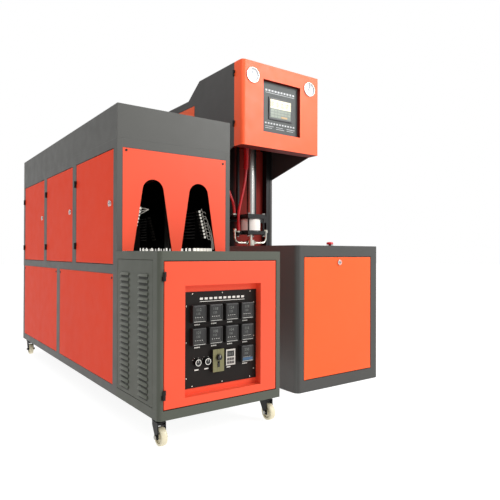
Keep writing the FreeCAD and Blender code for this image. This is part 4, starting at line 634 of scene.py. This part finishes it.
# ---- Hinges -----------------------------------------------------------------------------------------------
# Small lift-off hinges of blackened steel: one half is welded to each door, the other with its pin to the
# frame. They stand just clear of the door's skin.
coat(nodes["hinge_pins"], black_powder)
for name in oven_doors:
    repaint(nodes[name], black_powder, lambda at, way: at.x < OVEN.x - 0.0004)
repaint(nodes["control_door"], black_powder, lambda at, way: at.y < OVEN.y - 0.0004)
repaint(nodes["head_door"], black_powder, lambda at, way: at.x < -0.3239)

# ---- Pressure gauges --------------------------------------------------------------------------------------
# Two 100 mm gauges: a rolled steel rim, a white enamel dial with a scale of ticks and figures round 270
# degrees, and a black pointer on a nickelled brass hub.
rim_steel = bright_metal("rolled_rim_steel", "#a9a8a4", 0.30, 300.0)
coat(nodes["pressure_gauges"], moulded("dial_enamel", "#a9adb2", 0.35))
for side, x in (("left", -0.2425), ("right", 0.2425)):
    centre = Vector((x, -0.354, 1.899))
    rim = ring("gauge_rim_" + side, 0.0436, 0.0484, 0.0050, 64)
    settle(rim, centre - Vector((0, 0.0002, 0)), to_front)
    edit(rim)
    bpy.ops.mesh.select_mode(type="EDGE")
    bpy.ops.mesh.select_all(action="SELECT")
    bpy.ops.mesh.bevel(offset=0.0009, segments=2, affect="EDGES")
    close_edit(rim)
    bpy.ops.object.shade_smooth_by_angle(angle=radians(40))
    coat(rim, rim_steel)
    scale = []
    for i in range(41):
        long = 0.0060 if i % 8 == 0 else 0.0040 if i % 4 == 0 else 0.0026
        thick = 0.0010 if i % 8 == 0 else 0.0005
        tick = block("tick", (-thick / 2, -0.0002, 0.0395 - long), (thick, 0.0003, long), 0.0001)
        scale.append(settle(tick, centre, (0, radians(-135 + 6.75 * i), 0)))
    scale.append(settle(ring("scale_arc", 0.0395, 0.0400, 0.0003, 64), centre, to_front))
    for i in range(6):
        angle = radians(-135 + 54 * i)
        spot = centre + Vector((0.0285 * sin(angle) - 0.0026, -0.0001, 0.0285 * cos(angle) - 0.0028))
        scale.append(figures(str(i), spot, 0.0062, 0.0001))
    scale = coat(join("gauge_scale_" + side, scale), moulded("dial_print_" + side, "#2b2d33", 0.6))
    hub = turned("gauge_hub_" + side, [(0.0052, 0.0), (0.0052, 0.0016), (0.0040, 0.0024)], 24)
    coat(settle(hub, centre - Vector((0, 0.0030, 0)), to_front), nickel)
    for piece in (rim, scale):
        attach(piece, "head_door")
    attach(hub, "needle_" + side)

# ---- Touch screen -----------------------------------------------------------------------------------------
# A bought touch panel in the head door's recess: a dark bezel round a lit page with a pale table over a
# green-grey field of keys. Plain printed bars stand over and under it on the grey plate, without words.
bezel_black = moulded("touch_panel_abs", "#26282a", 0.45)
coat(nodes["touch_panel"], bezel_black)
coat(nodes["screen_plate"], powder_coat("screen_plate_grey", "#515453", "#4b4e4d", 0.5, 0.001))
screen_left, screen_low, screen_front = -0.0935, 1.648, -0.331


def lit(name, colour, glow):
    """A surface that glows a little in its own colour, with a fine grain."""
    finish, tree, shader, place = new_finish(name)
    cells = add(tree, "ShaderNodeTexNoise", {"Vector": place, "Scale": 700.0, "Detail": 1.0})
    tone = add(tree, "ShaderNodeMixRGB", {"Fac": cells.outputs["Fac"], "Color1": linear(colour),
                                          "Color2": tuple(c * 0.92 for c in linear(colour)[:3]) + (1.0,)})
    tree.links.new(tone.outputs["Color"], shader.inputs["Base Color"])
    tree.links.new(tone.outputs["Color"], shader.inputs["Emission Color"])
    shader.inputs["Emission Strength"].default_value = glow
    shader.inputs["Roughness"].default_value = 0.35
    return finish


def tile(name, x, z, wide, tall, out=0.0012, deep=0.0008, edge=0.0003):
    """A flat tile on the panel's front, from its low left corner, standing out by the distance given."""
    return block(name, (screen_left + x, screen_front - out, screen_low + z), (wide, deep, tall), edge)


def bar(x, z, wide, tall):
    """A printed bar on the grey plate, from its low left corner."""
    return block("bar", (x, -0.3246, z), (wide, 0.0008, tall), 0.0003)


page_top = tile("page_top", 0.012, 0.076, 0.176, 0.058, 0.0006, 0.0012, 0.0002)
page_low = tile("page_low", 0.012, 0.013, 0.176, 0.063, 0.0006, 0.0012, 0.0002)
coat(page_top, lit("page_cream", "#cfc8a6", 0.22))
coat(page_low, lit("page_green", "#4a5749", 0.06))
on_page = (0.0010, 0.0006, 0.0001)
table = [tile("table_line", 0.016, 0.086 + 0.0115 * i, 0.168, 0.0010, *on_page) for i in range(4)]
table += [tile("table_line", 0.016 + 0.042 * i, 0.086, 0.0009, 0.0355, *on_page) for i in range(5)]
table += [tile("entry", 0.021 + 0.042 * i, 0.0895 + 0.0115 * j, 0.012 + 0.004 * ((i + j) % 3), 0.0040,
               *on_page) for i in range(4) for j in range(3)]
table = coat(join("page_table", table), lit("page_ink", "#4f4c3a", 0.02))
pads = [tile("pad", 0.017 + 0.0285 * i, 0.018 + 0.0185 * j, 0.0245, 0.0135)
        for i in range(6) for j in range(3) if not (i > 2 and j == 0)]
pads = coat(join("page_keys", pads), lit("page_key_grey", "#66705f", 0.08))
yellow = coat(tile("page_value", 0.104, 0.018, 0.052, 0.0115), lit("page_value_ochre", "#a07a3a", 0.1))
rim_sides = ((0.0025, 0.0025, 0.0075, 0.142), (0.190, 0.0025, 0.0075, 0.142),
             (0.010, 0.0025, 0.180, 0.0085), (0.010, 0.136, 0.180, 0.0085))
rim_sides = [tile("bezel_rim", *side, 0.0016, 0.0022, 0.0007) for side in rim_sides]
screen_rim = coat(join("touch_panel_rim", rim_sides), bezel_black)
bars = [bar(-0.119 + 0.0258 * i, 1.832, 0.0165, 0.0125) for i in range(10)]
bars.append(bar(-0.119, 1.8215, 0.249, 0.0030))
bars += [bar(-0.122 + 0.0240 * i, 1.617, 0.0140, 0.0095) for i in range(11)]
bars += [bar(-0.120 + 0.092 * i, 1.600 - 0.012 * j, 0.070 - 0.012 * ((i + j) % 2), 0.0030)
         for i in range(3) for j in range(2)]
bars = coat(join("screen_legends", bars), moulded("pale_screen_print", "#b5b7b8", 0.6))
for piece in (page_top, page_low, table, pads, yellow, screen_rim, bars):
    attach(piece, "head_door")

# ---- Emergency stop ---------------------------------------------------------------------------------------
# A red mushroom head on its neck, moulded with a soft crown, over a black collar screwed to the cover. It
# stays clear of the collar when it is pressed.
stop_x, stop_y = 0.014, -0.7855
head = turned("stop_head", [(0.0080, 0.8040), (0.0080, 0.8145), (0.0165, 0.8146), (0.0200, 0.8170),
                            (0.0200, 0.8235), (0.0188, 0.8268), (0.0160, 0.8290), (0.0110, 0.8303),
                            (0.0050, 0.8308)], 48)
settle(head, (stop_x, stop_y, 0))
bpy.ops.object.shade_smooth_by_angle(angle=radians(35))
coat(head, stop_red)
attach(head, "stop_button")
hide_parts("estop_button")
collar = coat(settle(ring("stop_collar", 0.0150, 0.0215, 0.0031, 48), (stop_x, stop_y, 0.8072)), knob_black)
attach(collar, "machine")

# ---- Sealing cylinder's nuts and fittings -----------------------------------------------------------------
# Hexagon nuts clamp the tie rods on both flanges, nickelled hexagon unions hold the bent pipes and the hoses
# to their ports, and a black band seals each end of the cylinder.

def hexagon(name, wide, tall, at, turn=(0, 0, 0)):
    """A hexagon nut with chamfered ends."""
    nut = turned(name, [(wide * 0.92, 0), (wide, tall * 0.12), (wide, tall * 0.88), (wide * 0.92, tall)], 6)
    return settle(nut, at, turn)


rod_places = [(x, y) for x in (-0.066, 0.066) for y in (-0.066, 0.066)]
tie_nuts = [hexagon("tie_nut", 0.0100, 0.0085, (x, y, 1.039)) for x, y in rod_places]
tie_nuts += [hexagon("tie_nut", 0.0100, 0.0065, (x, y, 0.8815)) for x, y in rod_places]
tie_nuts = coat(join("tie_rod_nuts", tie_nuts), ground_steel)
hose_ends = ((-0.105, 0, 0.9085), (-0.112, 0.045, 1.0345), (-0.058, -0.020, 1.5862), (-0.224, 0.070, 1.5862))
unions = [hexagon("union", 0.0150, 0.0130, at) for at in hose_ends]
unions = coat(join("hose_unions", unions), nickel)
elbow_nuts = []
for sign in (-1, 1):
    elbow_nuts.append(hexagon("elbow_nut", 0.0148, 0.0120, (sign * 0.137, 0, 0.9130)))
    outward = (0, sign * radians(90), 0)
    elbow_nuts.append(hexagon("elbow_nut", 0.0120, 0.0150, (sign * 0.0270, 0, 0.838), outward))
elbow_nuts = coat(join("elbow_nuts", elbow_nuts), nickel)
bands = [settle(ring("band", 0.0688, 0.0702, 0.0035, 64), (0, 0, z)) for z in (0.9215, 1.0050)]
bands = coat(join("cylinder_bands", bands), moulded("cylinder_end_seal", "#1a1a1a", 0.5))
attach(elbow_nuts, "nozzle")
for piece in (tie_nuts, unions, bands):
    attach(piece, "machine")

# ---- Casters ----------------------------------------------------------------------------------------------
# Each caster has a ball race and a bridge under its plate and a nut on each end of its axle. The nylon wheel
# has a raised cap and a raised band on both sides.
for name, body, x, y in (("front_left", "fork_left", 0.032, 0.064),
                         ("front_right", "fork_right", 0.571, 0.064),
                         ("rear_left", "machine", 0.032, 2.281),
                         ("rear_right", "machine", 0.586, 2.281)):
    axle = OVEN + Vector((x, y - 0.022, 0.0375))
    nuts = [hexagon("axle_nut", 0.0085, 0.0045, axle + Vector((0.0235, 0, 0)), (0, radians(90), 0)),
            hexagon("axle_nut", 0.0085, 0.0045, axle - Vector((0.0235, 0, 0)), (0, radians(-90), 0))]
    race = settle(ring("race", 0.0210, 0.0262, 0.0060, 40), OVEN + Vector((x, y, 0.0985)))
    bridge_at = OVEN + Vector((x - 0.0150, y - 0.0200, 0.0785))
    bridge = block("bridge", bridge_at, (0.0300, 0.0420, 0.0200), 0.0020)
    bridge = coat(join("caster_bridge_" + name, [bridge, race]), black_powder)
    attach(bridge, body)
    fork_trim = coat(join("caster_trim_" + name, nuts), ground_steel)
    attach(fork_trim, body)
    trim = []
    for part, inner, outer, thick, out, sides in (("cap", 0.0056, 0.0130, 0.0030, 0.0095, 32),
                                                  ("tread", 0.0270, 0.0292, 0.0012, 0.0115, 48)):
        for sign in (-1, 1):
            band = ring(part, inner, outer, thick, sides)
            trim.append(settle(band, axle + Vector((sign * out, 0, 0)), (0, sign * radians(90), 0)))
    hub = coat(join("wheel_trim_" + name, trim), ivory_nylon)
    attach(hub, "wheel_" + name)

# ---- Lamp ends, pegs and leads ----------------------------------------------------------------------------
# White ceramic ends carry the smoked quartz lamps. The near bank's ends glow a little as painted light, and
# those further in are painted darker as painted shade. White sleeved leads loop from the ends to the
# terminals, and nylon pegs stand on the chain; the leads and the pegs glow a little as painted light.
coat(nodes["heating_lamps"], moulded("smoked_quartz", "#1b1b1d", 0.12))
end_long = 0.031
module_ends = [0.591 + door_pitch * i + far for i in range(3) for far in (0, 0.32267)]
# Painted shade on the ends further in, painted light on the near bank's ends.
shaded_ceramic = moulded("painted_shade_ceramic", "#4c4843", 0.6)
painted_light_ceramic = lit("glowing_ceramic_painted_light", "#e6e2d8", 0.75)
repaint(nodes["heating_lamps"], shaded_ceramic,
        lambda at, way: any(start - 0.001 < at.y - OVEN.y < start + end_long for start in module_ends))
repaint(nodes["heating_lamps"], painted_light_ceramic,
        lambda at, way: at.y - OVEN.y < 0.6215 and (way.y < -0.5 or at.y - OVEN.y < 0.55))
# Painted light: the nylon pegs glow a little.
coat(nodes["mandrel_chain"], lit("glowing_mandrel_nylon_painted_light", "#ece9e2", 0.75))
repaint(nodes["mandrel_chain"], ground_steel, lambda at, way: at.z < 0.7395)
# Painted shade: the lamp reflectors and the oven deck are painted black.
for name in ("lamp_reflectors", "oven_deck"):
    coat(nodes[name], painted_shade_black)
repeatable = random.Random(7)


def lead(points, thick):
    """A sleeved lead through its points, as a mesh."""
    curve = bpy.data.curves.new("lead", "CURVE")
    curve.dimensions = "3D"
    spline = curve.splines.new("NURBS")
    spline.points.add(len(points) - 1)
    for point, at in zip(spline.points, points):
        point.co = (*at, 1.0)
    spline.order_u = 4
    spline.use_endpoint_u = True
    curve.bevel_depth = thick
    curve.bevel_resolution = 2
    curve.resolution_u = 6
    curve.use_fill_caps = True
    item = bpy.data.objects.new("lead", curve)
    scene.collection.objects.link(item)
    bpy.ops.object.select_all(action="DESELECT")
    item.select_set(True)
    bpy.context.view_layer.objects.active = item
    bpy.ops.object.convert(target="MESH")
    return bpy.context.object


leads = []
for row in range(9):
    start = OVEN + Vector((0.558 - 0.0044 * row, 0.592, 0.849 + 0.01725 * row))
    curl = repeatable.uniform(0.004, 0.016)
    drop = repeatable.uniform(-0.010, 0.006)
    loops = [(0, 0, 0), (0, -0.012, 0.001), (0.004, -0.024, 0.010 + curl), (-0.006, -0.030, 0.002),
             (0.002, -0.036, -0.012 + drop), (0.008 + curl / 2, -0.042, -0.004),
             (0.012, -0.046, -0.020 + drop)]
    points = [start + Vector(loop) for loop in loops]
    if row % 3 == 0:
        end = OVEN + Vector((0.556 + 0.002 * row, 0.520, 0.800))
        points += [(points[-1] + end) / 2 + Vector((0.006, 0, 0.014)), end + Vector((0, 0, 0.012)), end,
                   end + Vector((-0.012, -0.022, -0.018))]
    leads.append(lead(points, 0.0012))
terminal = OVEN + Vector((0.221, 0.578, 0.982))
for row in range(9):
    start = OVEN + Vector((0.146 + 0.0044 * row, 0.592, 0.849 + 0.01725 * row))
    if row > 5:
        halfway = (start + terminal) / 2 + Vector((0, -0.006, 0.001))
        leads.append(lead([start, start + Vector((0, -0.010, 0.002)), halfway, terminal], 0.0016))
    else:
        stub = [start, start + Vector((0, -0.008, 0)), start + Vector((-0.004, -0.014, 0.006))]
        leads.append(lead(stub, 0.0012))
# Painted light: the leads' sleeves glow a little.
leads = coat(join("lamp_leads", leads), lit("glowing_fibre_sleeve_painted_light", "#cfcac0", 0.3))
bpy.ops.object.shade_smooth_by_angle(angle=radians(60))
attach(leads, "machine")

# ---- Air hoses ------------------------------------------------------------------------------------------
# Two red polyurethane hoses, 20 mm outside, come down from the head to the sealing cylinder. Each is clamped
# in a union at both ends and keeps its own bends. The routes are in millimetres.
main_route = [(-58, -20, 1586), (-58, -20, 1490), (-53, -18, 1395), (-58, -16, 1300), (-76, -13, 1205),
              (-98, -8, 1112), (-110, -3, 1040), (-105, 0, 980), (-105, 0, 921)]
second_route = [(-224, 70, 1586), (-224, 70, 1496), (-215, 64, 1404), (-198, 57, 1316), (-175, 50, 1240),
                (-144, 46, 1172), (-112, 45, 1106), (-112, 45, 1047)]
for name, route, length in (("air_hose_main", main_route, 0.671), ("air_hose_second", second_route, 0.558)):
    curve = bpy.data.curves.new(name + "_tube", "CURVE")
    curve.dimensions = "3D"
    spline = curve.splines.new("NURBS")
    spline.points.add(len(route) - 1)
    for point, (x, y, z) in zip(spline.points, route):
        point.co = (x / 1000, y / 1000, z / 1000, 1.0)
    spline.order_u = 3
    spline.use_endpoint_u = True
    curve.bevel_depth = 0.01
    curve.bevel_resolution = 6
    curve.resolution_u = 12
    hose = bpy.data.objects.new(name + "_tube", curve)
    scene.collection.objects.link(hose)
    curve.materials.append(hose_red)
    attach(hose, "machine")
    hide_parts(name)
    start = [v / 1000 for v in route[0]]

# ---- Spiral sleeve ----------------------------------------------------------------------------------------
# A spiral of red plastic strip is wound round the top of the main hose, where it comes down out of the head,
# and guards it from rubbing.
turns, steps, wound_r = 26, 10, 0.0142
sleeve_points = []
for i in range(turns * steps + 1):
    along = i / (turns * steps)
    sway = 0.004 * sin(radians(150 * along))
    middle = Vector((-0.058 + sway, -0.020 + 0.002 * along, 1.584 - 0.222 * along))
    angle = radians(360 / steps * i)
    sleeve_points.append(middle + Vector((wound_r * cos(angle), wound_r * sin(angle), 0)))
sleeve = coat(lead(sleeve_points, 0.0045), moulded("spiral_sleeve", "#bf151c", 0.4))
sleeve.name = "hose_sleeve"
bpy.ops.object.shade_smooth_by_angle(angle=radians(60))
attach(sleeve, "machine")
